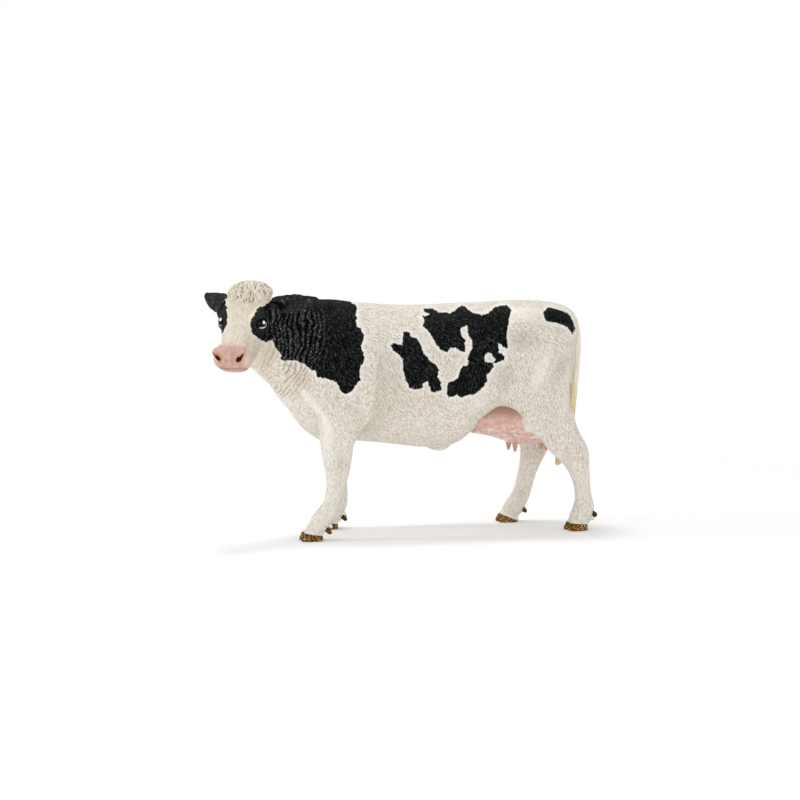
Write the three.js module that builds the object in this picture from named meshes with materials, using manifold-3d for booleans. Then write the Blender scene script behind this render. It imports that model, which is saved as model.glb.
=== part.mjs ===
// A toy dairy cow about 1:20 in scale: solid soft vinyl, glued up from ten separately moulded pieces.
// Units are millimetres. +Z is up, the cow walks towards -Y and its left side is +X. The origin is on the
// ground, under the middle of the figure's box.
import * as THREE from "three";
import { mergeVertices } from "three/addons/utils/BufferGeometryUtils.js";
import Module from "manifold-3d";

const wasm = await Module();
wasm.setup();

// Trunk and neck
const backHeight = 74; // ground to the top line over the loin
const bellyHeight = 27; // ground to the belly
const trunkLength = 84; // front of the withers to the buttock
const barrelWidth = 37; // widest part of the barrel
const neckReach = 27; // how far the end of the neck lies ahead of the withers
const neckSide = 7.5; // how far the turned neck's end lies to the cow's left
const navelRadius = 2.6; // half width of the fold of skin under the belly

// Head
const headLength = 27; // poll to the tip of the muzzle
const headWidth = 14.4; // across the cheeks below the eyes
const headDepth = 16; // forehead to jaw
const headTurn = THREE.MathUtils.degToRad(60); // how far the face looks to the cow's left
const headNod = THREE.MathUtils.degToRad(45); // how far the face slopes down
const headTilt = THREE.MathUtils.degToRad(4); // how far the head leans to its left
const pollAhead = 27.4; // poll in front of the withers
const pollSide = 6; // poll to the left of the middle line
const pollRise = 3.6; // poll above the top line of the back
const eyeRadius = 1.6;
const eyeSocketRadius = 3.1; // half height of the mound of brow and lids
const nostrilLength = 2.8;
const grooveWidth = 0.45; // of the mouth and round the eyeballs
const forelockWidth = 13;
const forelockLength = 8;
const forelockRise = 3.1; // how far the tuft stands above the poll
const curlRadius = 1.5;

// Ears
const earLength = 14.4;
const earWidth = 6.8;
const earThickness = 1.7; // at the thick root
const leftEarSweep = THREE.MathUtils.degToRad(12); // how far the left ear points back from straight sideways
const rightEarSweep = THREE.MathUtils.degToRad(37);
const leftEarRaise = THREE.MathUtils.degToRad(-3); // how far it rises towards its tip
const rightEarRaise = THREE.MathUtils.degToRad(2);
const earStemRadius = 1.7;

// Legs
const stanceWidth = 24; // between the middles of a left and a right hoof
const hoofLength = 7.4;
const hoofWidth = 6.8;
const hoofHeight = 3.3;
const cleftWidth = 0.6;
const dewclawLength = 1.9;
const dewclawRadius = 0.8;

// Teats and tail
const teatLength = 3.4;
const teatRadius = 0.95;
const tailRadius = 1.2;

// Glued joints
const pegLength = 4;
const pegRadius = 1.9;
const smallPegLength = 2.2;
const smallPegRadius = 0.8;
const smallPegSunk = 0.6; // how deep a small peg's foot goes into its own piece
const pegTaperShare = 0.8;
const pegOvalShare = 0.7; // pegs are oval, so that a piece can't be glued on turned
const fitGap = 0.3; // around a peg in its socket, and between curved faces that meet
const overrun = 5; // how far a cutting solid runs past what it cuts

// Points round a section, and sections along a form
const facets = { trunk: 32, head: 24, limb: 16, claw: 12, ear: 14, tail: 8, udder: 22, ball: 12, small: 8 };
const sections = { trunk: 26, neck: 12, head: 22, limb: 20, ear: 11, tail: 28, udder: 14 };

const vinyl = (color, roughness) => new THREE.MeshStandardMaterial({ color, roughness, metalness: 0 });
const whiteCoat = vinyl(0xefe7da, 0.6);
const blackCoat = vinyl(0x1c1d20, 0.55);
const pinkSkin = vinyl(0xd9a598, 0.5);
const creamHair = vinyl(0xe8dcb8, 0.6);

// Places that the shares below are measured from
const trunkDepth = backHeight - bellyHeight;
const across = (share) => (share * barrelWidth) / 2;
const upTrunk = (share) => bellyHeight + share * trunkDepth;
const alongTrunk = (share) => share * trunkLength;
const vector = (x, y, z) => new THREE.Vector3(x, y, z);
const up = vector(0, 0, 1);

// Geometry tools

// A closed geometry from rings of points, all with the same count, with a fan of faces at each end.
function loft(rings) {
  const count = rings[0].length;
  const points = rings.flat();
  const faces = [];
  for (let r = 0; r + 1 < rings.length; r++) {
    for (let i = 0; i < count; i++) {
      const a = r * count + i;
      const b = r * count + ((i + 1) % count);
      faces.push(a, b, b + count, a, b + count, a + count);
    }
  }
  const close = (ring, first, turned) => {
    const middle = ring.reduce((sum, point) => sum.add(point), vector(0, 0, 0)).divideScalar(count);
    const tip = points.push(middle) - 1;
    for (let i = 0; i < count; i++) {
      const next = (i + 1) % count;
      faces.push(tip, first + (turned ? next : i), first + (turned ? i : next));
    }
  };
  close(rings[0], 0, true);
  close(rings.at(-1), (rings.length - 1) * count, false);
  return new THREE.BufferGeometry().setFromPoints(points).setIndex(faces);
}

// A closed geometry as a solid that can be joined and cut. One that faces inwards is turned round.
function solid(geometry) {
  const bare = geometry.clone();
  bare.deleteAttribute("normal");
  bare.deleteAttribute("uv");
  const merged = mergeVertices(bare);
  const vertProperties = new Float32Array(merged.attributes.position.array);
  const triVerts = new Uint32Array(merged.index.array);
  const made = new wasm.Manifold(new wasm.Mesh({ numProp: 3, vertProperties, triVerts }));
  if (made.volume() > 0) return made;
  return new wasm.Manifold(new wasm.Mesh({ numProp: 3, vertProperties, triVerts: triVerts.reverse() }));
}

// A solid as a named mesh whose own origin lies at its seat, the place where it is glued on.
function piece(name, made, material, seat) {
  const mesh = made.getMesh();
  const geometry = new THREE.BufferGeometry();
  geometry.setAttribute("position", new THREE.BufferAttribute(new Float32Array(mesh.vertProperties), 3));
  geometry.setIndex(new THREE.BufferAttribute(new Uint32Array(mesh.triVerts), 1));
  geometry.translate(-seat.x, -seat.y, -seat.z);
  geometry.computeVertexNormals();
  const node = new THREE.Mesh(geometry, material);
  node.name = name;
  node.position.copy(seat);
  return node;
}

// The rows of a table as smooth values at even steps, each column along a Catmull-Rom curve.
function smoothRows(rows, count) {
  const mix = ([a, b, c, d], t) => {
    const [cubic, square, slope] = [3 * b - a - 3 * c + d, 2 * a - 5 * b + 4 * c - d, c - a];
    return (2 * b + slope * t + square * t * t + cubic * t * t * t) / 2;
  };
  const last = rows.length - 1;
  return Array.from({ length: count }, (_, k) => {
    const at = (k / (count - 1)) * last;
    const i = Math.min(Math.floor(at), last - 1);
    const near = [rows[Math.max(i - 1, 0)], rows[i], rows[i + 1], rows[Math.min(i + 2, last)]];
    return rows[0].map((_, column) => mix(near.map((row) => row[column]), at - i));
  });
}

// A body section as [sideways, upwards] pairs: two half super-ellipses that meet at its widest level.
function section({ half, top, bottom, widest, crown, keel }, count) {
  const level = bottom + widest * (top - bottom);
  return Array.from({ length: count }, (_, k) => {
    const angle = (k / count) * 2 * Math.PI;
    const [c, s] = [Math.cos(angle), Math.sin(angle)];
    const power = 2 / (s > 0 ? crown : keel);
    const rise = (s > 0 ? top - level : level - bottom) * Math.sign(s) * Math.abs(s) ** power;
    return [half * Math.sign(c) * Math.abs(c) ** power, level + rise];
  });
}

// A ball stretched along its own axes, turned and placed.
function ball(centre, radii, turn = new THREE.Quaternion(), count = facets.ball) {
  const shape = new THREE.SphereGeometry(1, count, Math.round(count / 2));
  shape.rotateX(Math.PI / 2).scale(radii.x, radii.y, radii.z).applyQuaternion(turn);
  return solid(shape.translate(centre.x, centre.y, centre.z));
}

// The half of space beyond a plane, as a block big enough to cut any piece.
function beyond(point, normal) {
  const size = 2 * (trunkLength + neckReach + headLength + backHeight);
  const turn = new THREE.Quaternion().setFromUnitVectors(up, normal);
  const block = new THREE.BoxGeometry(size, size, size).translate(0, 0, size / 2);
  return solid(block.applyQuaternion(turn).translate(point.x, point.y, point.z));
}

// A tapered oval peg that stands on a seat, its foot sunk into its own piece; grown, it is that peg's socket.
function peg(seat, direction, { grow = 0, length = pegLength, radius = pegRadius, sunk = radius } = {}) {
  const [tip, foot] = [radius * pegTaperShare + grow, radius + grow];
  const shape = new THREE.CylinderGeometry(tip, foot, length + sunk + 2 * grow, facets.ball);
  shape.translate(0, (length - sunk) / 2, 0).scale(1, 1, pegOvalShare);
  const turn = new THREE.Quaternion().setFromUnitVectors(vector(0, 1, 0), direction);
  return solid(shape.applyQuaternion(turn).translate(seat.x, seat.y, seat.z));
}

// Trunk and neck

// Sections of the trunk from the buttock forwards: place along trunkLength; top and bottom, above the belly
// by trunkDepth; half width, by half of barrelWidth; widest level; squareness of the upper and lower half.
const trunkShares = [
  [0.554, 0.84, 0.5, 0.26, 0.5, 2.4, 2.0],
  [0.547, 0.89, 0.42, 0.46, 0.55, 2.5, 2.0],
  [0.53, 0.94, 0.36, 0.62, 0.6, 2.6, 2.0],
  [0.503, 0.972, 0.32, 0.74, 0.62, 2.6, 2.0],
  [0.455, 0.992, 0.3, 0.82, 0.62, 2.7, 2.0],
  [0.385, 1.0, 0.28, 0.87, 0.6, 2.7, 2.0],
  [0.315, 1.0, 0.27, 0.89, 0.57, 2.6, 2.1],
  [0.255, 0.996, 0.24, 0.9, 0.52, 2.5, 2.1],
  [0.195, 0.989, 0.17, 0.92, 0.46, 2.3, 2.1],
  [0.135, 0.985, 0.09, 0.96, 0.44, 2.2, 2.1],
  [0.075, 0.983, 0.025, 0.99, 0.43, 2.15, 2.1],
  [0.02, 0.979, 0.0, 1.0, 0.43, 2.1, 2.1],
  [-0.05, 0.972, 0.0, 1.0, 0.43, 2.1, 2.1],
  [-0.13, 0.972, 0.016, 1.0, 0.43, 2.05, 2.1],
  [-0.21, 0.977, 0.036, 0.98, 0.43, 2.0, 2.1],
  [-0.29, 0.987, 0.05, 0.94, 0.44, 1.9, 2.0],
  [-0.36, 1.002, 0.052, 0.88, 0.45, 1.8, 1.9],
];

// Sections of the neck from the withers to its end inside the head: place along the neck's bend; how far
// the throat leads the crest, by neckReach; then the same columns as the trunk's from the top on.
const neckShares = [
  [0.0, 0.15, 1.012, 0.05, 0.8, 0.46, 1.8, 1.8],
  [0.14, 0.17, 1.012, 0.132, 0.68, 0.48, 1.8, 1.8],
  [0.3, 0.165, 1.008, 0.266, 0.55, 0.52, 1.9, 1.8],
  [0.46, 0.15, 1.008, 0.4, 0.45, 0.55, 2.0, 1.9],
  [0.62, 0.125, 1.012, 0.48, 0.385, 0.57, 2.1, 2.0],
  [0.78, 0.12, 1.016, 0.54, 0.34, 0.58, 2.2, 2.0],
  [0.92, 0.11, 1.016, 0.585, 0.29, 0.58, 2.2, 2.0],
];
const neckBaseShare = -0.4; // where the neck starts, along trunkLength
const neckStraightShare = 0.7; // how much of its reach the neck runs straight ahead before it turns
const neckJointShare = 0.47; // where the head is glued on, along neckReach
const neckPegShare = 0.7; // height of the head's peg, as high up the trunk

const neckBase = vector(0, alongTrunk(neckBaseShare), 0);
const neckCurve = new THREE.QuadraticBezierCurve3(
  neckBase,
  neckBase.clone().add(vector(0, -neckStraightShare * neckReach, 0)),
  neckBase.clone().add(vector(neckSide, -neckReach, 0)),
);

function outline([top, bottom, width, widest, crown, keel], grow) {
  const size = { half: across(width) + grow, top: upTrunk(top) + grow, bottom: upTrunk(bottom) - grow };
  return { ...size, widest, crown, keel };
}

function trunkRing([place, ...shares], grow) {
  return section(outline(shares, grow), facets.trunk).map(([x, z]) => vector(x, alongTrunk(place), z));
}

function neckRing([place, lead, ...shares], grow) {
  const shape = outline(shares, grow);
  const centre = neckCurve.getPoint(place);
  const ahead = neckCurve.getTangent(place);
  const left = vector(-ahead.y, ahead.x, 0);
  return section(shape, facets.trunk).map(([side, z]) => {
    const lean = (lead * neckReach * (shape.top - z)) / (shape.top - shape.bottom);
    return centre.clone().addScaledVector(ahead, lean).addScaledVector(left, side).setZ(z);
  });
}

// The trunk's relief on both sides: place along trunkLength, level by trunkDepth, spread along and upwards
// by the same two, and how far the surface swells or sinks, by barrelWidth.
const reliefShares = {
  hookBone: [0.28, 0.88, 0.075, 0.1, 0.034],
  pinBone: [0.53, 0.8, 0.035, 0.06, 0.02],
  hollowFlank: [0.17, 0.78, 0.08, 0.13, -0.026],
  flankFold: [0.17, 0.3, 0.06, 0.12, 0.022],
  shoulderBlade: [-0.32, 0.62, 0.08, 0.24, 0.022],
  behindShoulder: [-0.21, 0.5, 0.05, 0.32, -0.024],
};
const ridgeShare = 0.25; // relief fades out this far from the middle line, by barrelWidth

function withRelief(point) {
  let push = 0;
  for (const [place, level, long, high, swell] of Object.values(reliefShares)) {
    const dy = (point.y - alongTrunk(place)) / (long * trunkLength);
    const dz = (point.z - upTrunk(level)) / (high * trunkDepth);
    push += swell * barrelWidth * Math.exp(-dy * dy - dz * dz);
  }
  const fade = Math.min(1, Math.abs(point.x) / (ridgeShare * barrelWidth));
  return point.clone().setX(point.x + Math.sign(point.x) * push * fade);
}

function trunk(grow = 0) {
  const rear = smoothRows(trunkShares, sections.trunk).map((row) => trunkRing(row, grow).map(withRelief));
  const front = smoothRows(neckShares, sections.neck).map((row) => neckRing(row, grow));
  return solid(loft([...rear, ...front]));
}

// The fold of skin at the navel: place along the trunk and level up it; half size by navelRadius.
const navelShares = { place: 0.014, level: 0.012, long: 1.6, deep: 0.82 };

function navel() {
  const { place, level, long, deep } = navelShares;
  const centre = vector(0, alongTrunk(place), upTrunk(level));
  return ball(centre, vector(1, long, deep).multiplyScalar(navelRadius));
}

// Limbs

// Level sections of a limb from its root inside the trunk down to the pastern: height by backHeight; middle
// and half length by trunkLength; side from the middle line and half width by stanceWidth.
const limbShares = {
  front_left_leg: [
    [0.8, -0.335, 0.03, 0.34, 0.16],
    [0.7, -0.355, 0.075, 0.4, 0.24],
    [0.59, -0.378, 0.092, 0.41, 0.265],
    [0.49, -0.4, 0.085, 0.44, 0.25],
    [0.42, -0.412, 0.071, 0.47, 0.2],
    [0.36, -0.416, 0.06, 0.48, 0.172],
    [0.31, -0.415, 0.05, 0.49, 0.155],
    [0.265, -0.415, 0.044, 0.49, 0.148],
    [0.23, -0.421, 0.036, 0.49, 0.12],
    [0.18, -0.43, 0.0325, 0.49, 0.106],
    [0.135, -0.441, 0.034, 0.49, 0.11],
    [0.1, -0.462, 0.041, 0.49, 0.134],
    [0.07, -0.482, 0.04, 0.49, 0.134],
    [0.03, -0.503, 0.041, 0.49, 0.13],
  ],
  front_right_leg: [
    [0.8, -0.32, 0.03, 0.34, 0.16],
    [0.7, -0.335, 0.072, 0.4, 0.24],
    [0.59, -0.345, 0.086, 0.41, 0.265],
    [0.49, -0.35, 0.078, 0.44, 0.25],
    [0.42, -0.352, 0.067, 0.47, 0.2],
    [0.36, -0.354, 0.058, 0.48, 0.172],
    [0.31, -0.355, 0.05, 0.49, 0.155],
    [0.265, -0.355, 0.044, 0.49, 0.148],
    [0.23, -0.354, 0.036, 0.49, 0.12],
    [0.18, -0.355, 0.0325, 0.49, 0.106],
    [0.135, -0.357, 0.034, 0.49, 0.11],
    [0.1, -0.366, 0.041, 0.49, 0.134],
    [0.07, -0.379, 0.04, 0.49, 0.134],
    [0.03, -0.395, 0.041, 0.49, 0.13],
  ],
  rear_left_leg: [
    [0.86, 0.4, 0.06, 0.34, 0.19],
    [0.76, 0.398, 0.12, 0.39, 0.28],
    [0.66, 0.392, 0.13, 0.4, 0.3],
    [0.56, 0.398, 0.123, 0.42, 0.29],
    [0.49, 0.418, 0.106, 0.44, 0.25],
    [0.43, 0.446, 0.09, 0.46, 0.2],
    [0.375, 0.48, 0.088, 0.49, 0.165],
    [0.33, 0.505, 0.073, 0.5, 0.148],
    [0.29, 0.524, 0.054, 0.5, 0.14],
    [0.245, 0.54, 0.04, 0.5, 0.125],
    [0.19, 0.549, 0.032, 0.5, 0.108],
    [0.135, 0.556, 0.036, 0.5, 0.112],
    [0.095, 0.555, 0.045, 0.5, 0.134],
    [0.06, 0.54, 0.044, 0.5, 0.136],
    [0.03, 0.532, 0.043, 0.5, 0.132],
  ],
  rear_right_leg: [
    [0.86, 0.4, 0.06, 0.34, 0.19],
    [0.76, 0.398, 0.12, 0.39, 0.28],
    [0.66, 0.392, 0.13, 0.4, 0.3],
    [0.56, 0.396, 0.123, 0.42, 0.29],
    [0.49, 0.41, 0.104, 0.44, 0.25],
    [0.43, 0.43, 0.083, 0.46, 0.2],
    [0.375, 0.45, 0.072, 0.49, 0.165],
    [0.33, 0.448, 0.06, 0.5, 0.148],
    [0.29, 0.437, 0.05, 0.5, 0.14],
    [0.245, 0.424, 0.042, 0.5, 0.125],
    [0.19, 0.408, 0.038, 0.5, 0.108],
    [0.135, 0.394, 0.04, 0.5, 0.112],
    [0.095, 0.378, 0.046, 0.5, 0.134],
    [0.06, 0.362, 0.044, 0.5, 0.136],
    [0.03, 0.35, 0.043, 0.5, 0.132],
  ],
};
const jointShares = { front: 0.381, rear: 0.486 }; // height of the legs' glued faces, by backHeight
const limbNames = Object.keys(limbShares);
const isLeft = (name) => name.includes("left");
const jointHeight = (name) => jointShares[name.split("_")[0]] * backHeight;

// The middle of a limb's row, on the left or right side.
function limbPoint([height, middle, , side], name) {
  return vector((isLeft(name) ? 1 : -1) * side * stanceWidth, alongTrunk(middle), height * backHeight);
}

function limbRing(row, name, grow) {
  const centre = limbPoint(row, name);
  const [, , length, , width] = row;
  return Array.from({ length: facets.limb }, (_, k) => {
    const angle = (k / facets.limb) * 2 * Math.PI;
    const side = Math.cos(angle) * (width * stanceWidth + grow);
    const ahead = Math.sin(angle) * (length * trunkLength + grow);
    return centre.clone().add(vector(side, ahead, 0));
  });
}

function limb(name, grow = 0) {
  return solid(loft(smoothRows(limbShares[name], sections.limb).map((row) => limbRing(row, name, grow))));
}

// The middle of the flat face where a leg is glued on.
function limbSeat(name) {
  const rows = smoothRows(limbShares[name], sections.limb * facets.limb);
  const level = rows.find(([height]) => height * backHeight <= jointHeight(name));
  return limbPoint(level, name).setZ(jointHeight(name));
}

// Level sections of a claw from its sole up to the coronet: height by hoofHeight; toe and heel by hoofLength;
// half width by the claw's own.
const clawShares = [
  [0, 0.5, -0.5, 1],
  [0.35, 0.44, -0.5, 1],
  [0.7, 0.36, -0.46, 0.95],
  [1, 0.27, -0.38, 0.82],
];
const toeTaperShare = 0.3; // how much narrower a claw is at its toe
const heelShare = 0.013; // how far the hoof's middle lies ahead of the pastern's, by trunkLength

function claw(centre, outward) {
  const half = (hoofWidth - cleftWidth) / 4;
  const middle = centre.clone().add(vector(outward * (cleftWidth / 2 + half), 0, 0));
  const rings = clawShares.map(([height, toe, heel, width]) =>
    Array.from({ length: facets.claw }, (_, k) => {
      const angle = (k / facets.claw) * 2 * Math.PI;
      const ahead = (toe + heel) / 2 + ((toe - heel) / 2) * Math.cos(angle);
      const taper = 1 - toeTaperShare * Math.max(0, Math.cos(angle));
      const side = half * width * taper * Math.sin(angle);
      return middle.clone().add(vector(side, -ahead * hoofLength, height * hoofHeight));
    }),
  );
  return solid(loft(rings));
}

// The two small claws at the back of the pastern: how far behind its middle by half the pastern's length,
// height by that of the pastern's middle and distance apart by hoofWidth.
const dewclawBackShare = 1.02;
const dewclawHeightShare = 0.86;
const dewclawApartShare = 0.42;
const dewclawLean = THREE.MathUtils.degToRad(45); // how far they point down from level

function dewclaw(pastern, length, outward) {
  const side = (outward * dewclawApartShare * hoofWidth) / 2;
  const back = dewclawBackShare * length * trunkLength;
  const centre = pastern.clone().add(vector(side, back, 0)).setZ(dewclawHeightShare * pastern.z);
  const turn = new THREE.Quaternion().setFromAxisAngle(vector(1, 0, 0), -dewclawLean);
  return ball(centre, vector(dewclawRadius, dewclawLength / 2, dewclawRadius), turn, facets.small);
}

function foot(name) {
  const [row, lowest] = limbShares[name].slice(-2);
  const pastern = limbPoint(row, name);
  const [, , length] = row;
  const hoof = limbPoint(lowest, name).setZ(0).add(vector(0, -heelShare * trunkLength, 0));
  const claws = claw(hoof, 1).add(claw(hoof, -1));
  return claws.add(dewclaw(pastern, length, 1)).add(dewclaw(pastern, length, -1));
}

function leg(name, trunkSpace) {
  const seat = limbSeat(name);
  const shank = limb(name).add(foot(name)).subtract(trunkSpace).subtract(beyond(seat, up));
  return piece(name, shank.add(peg(seat, up)), whiteCoat, seat);
}

// Head

// Sections of the head from the poll to the tip of the muzzle: place along headLength; top and bottom by
// headDepth, from the line of the face; half width by half of headWidth; widest level; squareness above and
// below.
const headShares = [
  [-0.1, -0.22, -0.5, 0.3, 0.6, 2.0, 2.0],
  [-0.05, -0.08, -0.66, 0.55, 0.6, 2.0, 2.0],
  [0.04, 0.0, -0.86, 0.76, 0.66, 2.2, 1.9],
  [0.14, 0.02, -0.96, 0.86, 0.68, 2.4, 1.8],
  [0.26, 0.015, -1.0, 0.93, 0.68, 2.5, 1.8],
  [0.38, 0.0, -0.98, 0.95, 0.66, 2.5, 1.8],
  [0.5, -0.03, -0.9, 0.88, 0.64, 2.4, 1.8],
  [0.61, -0.055, -0.8, 0.77, 0.6, 2.3, 1.9],
  [0.72, -0.07, -0.7, 0.7, 0.56, 2.3, 2.1],
  [0.82, -0.075, -0.65, 0.75, 0.54, 2.4, 2.3],
  [0.9, -0.085, -0.635, 0.82, 0.54, 2.5, 2.4],
  [0.96, -0.13, -0.61, 0.79, 0.54, 2.5, 2.4],
  [0.995, -0.21, -0.55, 0.62, 0.52, 2.3, 2.2],
  [1.01, -0.3, -0.46, 0.36, 0.5, 2.0, 2.0],
];
const eyeShares = { side: 0.34, place: 0.38, level: -0.19 }; // by headWidth, headLength and headDepth
const eyeProudShare = 0.5; // how far the middle of the lids lies outside the socket's, by eyeSocketRadius
const eyeLook = THREE.MathUtils.degToRad(32); // how far the eyes look forwards from straight sideways
const socketShares = [0.72, 1.2, 1]; // half size out of, along and up the head, by eyeSocketRadius
const lidShares = [1, 1.3, 1]; // opening between the lids the same three ways, by eyeRadius
const eyeSinkShare = 0.62; // how far out the eyeball's middle lies, by that of the lids
const nostrilShares = { side: 0.26, place: 0.955, level: -0.19 };
const nostrilSizeShares = [0.2, 0.33, 0.5]; // half size the same three ways, by nostrilLength
const nostrilSlant = THREE.MathUtils.degToRad(52); // how far the nostrils lean outwards
const mouthShares = { start: 0.74, level: -0.49 };

const poll = vector(pollSide, neckBase.y - pollAhead, backHeight + pollRise);
const headTurned = new THREE.Quaternion().setFromEuler(new THREE.Euler(headNod, headTilt, headTurn, "ZXY"));

// A place on the head from its shares: sideways by headWidth, along the face by headLength, up by headDepth.
function onHead(side, place, level) {
  const own = vector(side * headWidth, -place * headLength, level * headDepth);
  return own.applyQuaternion(headTurned).add(poll);
}

function skull(grow = 0) {
  const rings = smoothRows(headShares, sections.head).map(([place, ...shares]) => {
    const [roof, floor, width, widest, crown, keel] = shares;
    const half = (width * headWidth) / 2 + grow;
    const [top, bottom] = [roof * headDepth + grow, floor * headDepth - grow];
    return section({ half, top, bottom, widest, crown, keel }, facets.head).map(([x, z]) =>
      vector(x, -place * headLength, z).applyQuaternion(headTurned).add(poll),
    );
  });
  return solid(loft(rings));
}

// An eye in its socket: the brow and lids are a mound that is hollowed for the ball.
function withEye(head, left) {
  const { side, place, level } = eyeShares;
  const look = new THREE.Quaternion().setFromAxisAngle(vector(0, 1, 0), -left * eyeLook);
  const turn = headTurned.clone().multiply(look);
  const proud = vector(left * eyeProudShare * eyeSocketRadius, 0, 0).applyQuaternion(turn);
  const socket = onHead(left * side, place, level);
  const mound = vector(...socketShares).multiplyScalar(eyeSocketRadius);
  const opening = vector(...lidShares).multiplyScalar(eyeRadius).add(vector(grooveWidth, 0, 0));
  const eyeball = vector(eyeRadius, eyeRadius, eyeRadius);
  return head
    .add(ball(socket, mound, turn))
    .subtract(ball(socket.clone().add(proud), opening, turn))
    .add(ball(socket.clone().addScaledVector(proud, eyeSinkShare), eyeball, turn));
}

function nostril(left) {
  const { side, place, level } = nostrilShares;
  const slant = new THREE.Quaternion().setFromAxisAngle(vector(0, 1, 0), left * nostrilSlant);
  const radii = vector(...nostrilSizeShares).multiplyScalar(nostrilLength);
  return ball(onHead(left * side, place, level), radii, headTurned.clone().multiply(slant));
}

// The mouth is a groove of even depth round the muzzle.
function mouth() {
  const { start, level } = mouthShares;
  const long = (1 - start) * headLength + overrun;
  const slit = new THREE.BoxGeometry(headWidth + overrun, long, grooveWidth);
  slit.translate(0, -start * headLength - long / 2, level * headDepth).applyQuaternion(headTurned);
  return solid(slit.translate(poll.x, poll.y, poll.z)).subtract(skull(-grooveWidth));
}

// The tuft between the ears: a mound with curls spread over it evenly, each turned on from the last by the
// golden angle.
const curlCount = 22;
const curlSinkShare = 0.9; // how deep the curls' middles lie in the mound
const curlFlatShare = 0.75;
const goldenAngle = Math.PI * (3 - Math.sqrt(5));
const forelockShares = { place: 0.07, level: -0.06, nod: 0.33 }; // by headLength, headDepth and headNod

function forelock() {
  const { place, level, nod } = forelockShares;
  const centre = onHead(0, place, level);
  const radii = vector(forelockWidth / 2, forelockLength / 2, forelockRise);
  const turn = new THREE.Quaternion().setFromEuler(new THREE.Euler(nod * headNod, headTilt, headTurn, "ZXY"));
  const curl = vector(curlRadius, curlRadius, curlFlatShare * curlRadius);
  let tuft = ball(centre, radii, turn);
  for (let k = 0; k < curlCount; k++) {
    const height = 1 - (k + 0.5) / curlCount;
    const around = Math.sqrt(1 - height * height);
    const on = vector(Math.cos(k * goldenAngle) * around, Math.sin(k * goldenAngle) * around, height);
    on.multiply(radii).multiplyScalar(curlSinkShare).applyQuaternion(turn).add(centre);
    tuft = tuft.add(ball(on, curl, turn, facets.small));
  }
  return tuft;
}

// Ears

// Sections of an ear from root to tip: place along earLength; half width by half of earWidth; half thickness
// by half of earThickness; how far the middle is cupped and how far it is lifted, by earWidth.
const earShares = [
  [0, 0.5, 1.25, 0, 0],
  [0.12, 0.64, 1.2, 0.04, 0],
  [0.26, 0.92, 0.85, 0.18, 0],
  [0.44, 1, 0.6, 0.24, 0.01],
  [0.62, 0.88, 0.55, 0.2, 0.07],
  [0.78, 0.66, 0.5, 0.14, 0.16],
  [0.9, 0.42, 0.45, 0.08, 0.25],
  [0.97, 0.22, 0.4, 0.03, 0.3],
  [1, 0.1, 0.3, 0, 0.32],
];
const earRootShares = { side: 0.38, place: 0.14, level: -0.19 };
const earPeg = { length: smallPegLength, radius: smallPegRadius, sunk: smallPegSunk };
const earStemShare = 0.1; // length of the stem that the head carries, by earLength
const earStemFlareShare = 1.3; // how much thicker the stem is at the skull
const earFacing = THREE.MathUtils.degToRad(-25); // how far an ear's hollow looks down from straight ahead

// An ear's own frame: X along the ear, Y across it and Z out of its hollow side.
function earFrame(left) {
  const [sweep, raise] = left > 0 ? [leftEarSweep, leftEarRaise] : [rightEarSweep, rightEarRaise];
  const along = vector(left * Math.cos(sweep), Math.sin(sweep), Math.tan(raise)).normalize();
  along.applyAxisAngle(up, headTurn);
  const ahead = vector(0, -1, 0).applyAxisAngle(up, headTurn);
  const hollow = ahead.clone().addScaledVector(along, -ahead.dot(along)).normalize();
  hollow.applyAxisAngle(along, left * earFacing);
  const width = hollow.clone().cross(along);
  const basis = new THREE.Matrix4().makeBasis(along, width, hollow);
  const turn = new THREE.Quaternion().setFromRotationMatrix(basis);
  const { side, place, level } = earRootShares;
  const root = onHead(left * side, place, level);
  const start = root.clone().addScaledVector(along, earStemShare * earLength + fitGap);
  return { along, turn, root, start };
}

function earStem(left) {
  const { along, root } = earFrame(left);
  const long = 2 * earStemShare * earLength;
  const foot = earStemRadius * earStemFlareShare;
  const stem = new THREE.CylinderGeometry(earStemRadius, foot, long, facets.ball);
  const turn = new THREE.Quaternion().setFromUnitVectors(vector(0, 1, 0), along);
  return solid(stem.applyQuaternion(turn).translate(root.x, root.y, root.z));
}

function ear(name, left, trunkSpace) {
  const { along, turn, start } = earFrame(left);
  const rings = smoothRows(earShares, sections.ear).map(([place, width, thickness, cup, lift]) =>
    Array.from({ length: facets.ear }, (_, k) => {
      const angle = (k / facets.ear) * 2 * Math.PI;
      const side = Math.cos(angle);
      const level = ((side * width) / 2 + left * lift) * earWidth;
      const depth = (Math.sin(angle) * thickness * earThickness) / 2 + cup * earWidth * (side * side - 1);
      const local = vector(place * earLength, level, depth);
      return local.applyQuaternion(turn).add(start);
    }),
  );
  const inwards = along.clone().negate();
  const blade = solid(loft(rings)).subtract(trunkSpace).subtract(skull(fitGap));
  const made = blade.add(peg(start, inwards, earPeg));
  return piece(name, made, blackCoat, start);
}

// Body with its sockets

const headSeat = neckBase.clone().add(vector(0, -neckJointShare * neckReach, 0)).setZ(upTrunk(neckPegShare));
const backwards = vector(0, 1, 0);
const forwards = vector(0, -1, 0);

function head() {
  const neck = trunk().intersect(beyond(headSeat, forwards));
  let made = skull().add(neck);
  for (const left of [1, -1]) made = withEye(made, left).add(earStem(left)).subtract(nostril(left));
  made = made.subtract(mouth()).add(forelock());
  for (const left of [1, -1]) {
    const { along, start } = earFrame(left);
    made = made.subtract(peg(start, along.clone().negate(), { ...earPeg, grow: fitGap }));
  }
  made = made.subtract(beyond(headSeat, backwards)).add(peg(headSeat, backwards));
  return piece("head", made, whiteCoat, headSeat);
}

// Tail

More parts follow.
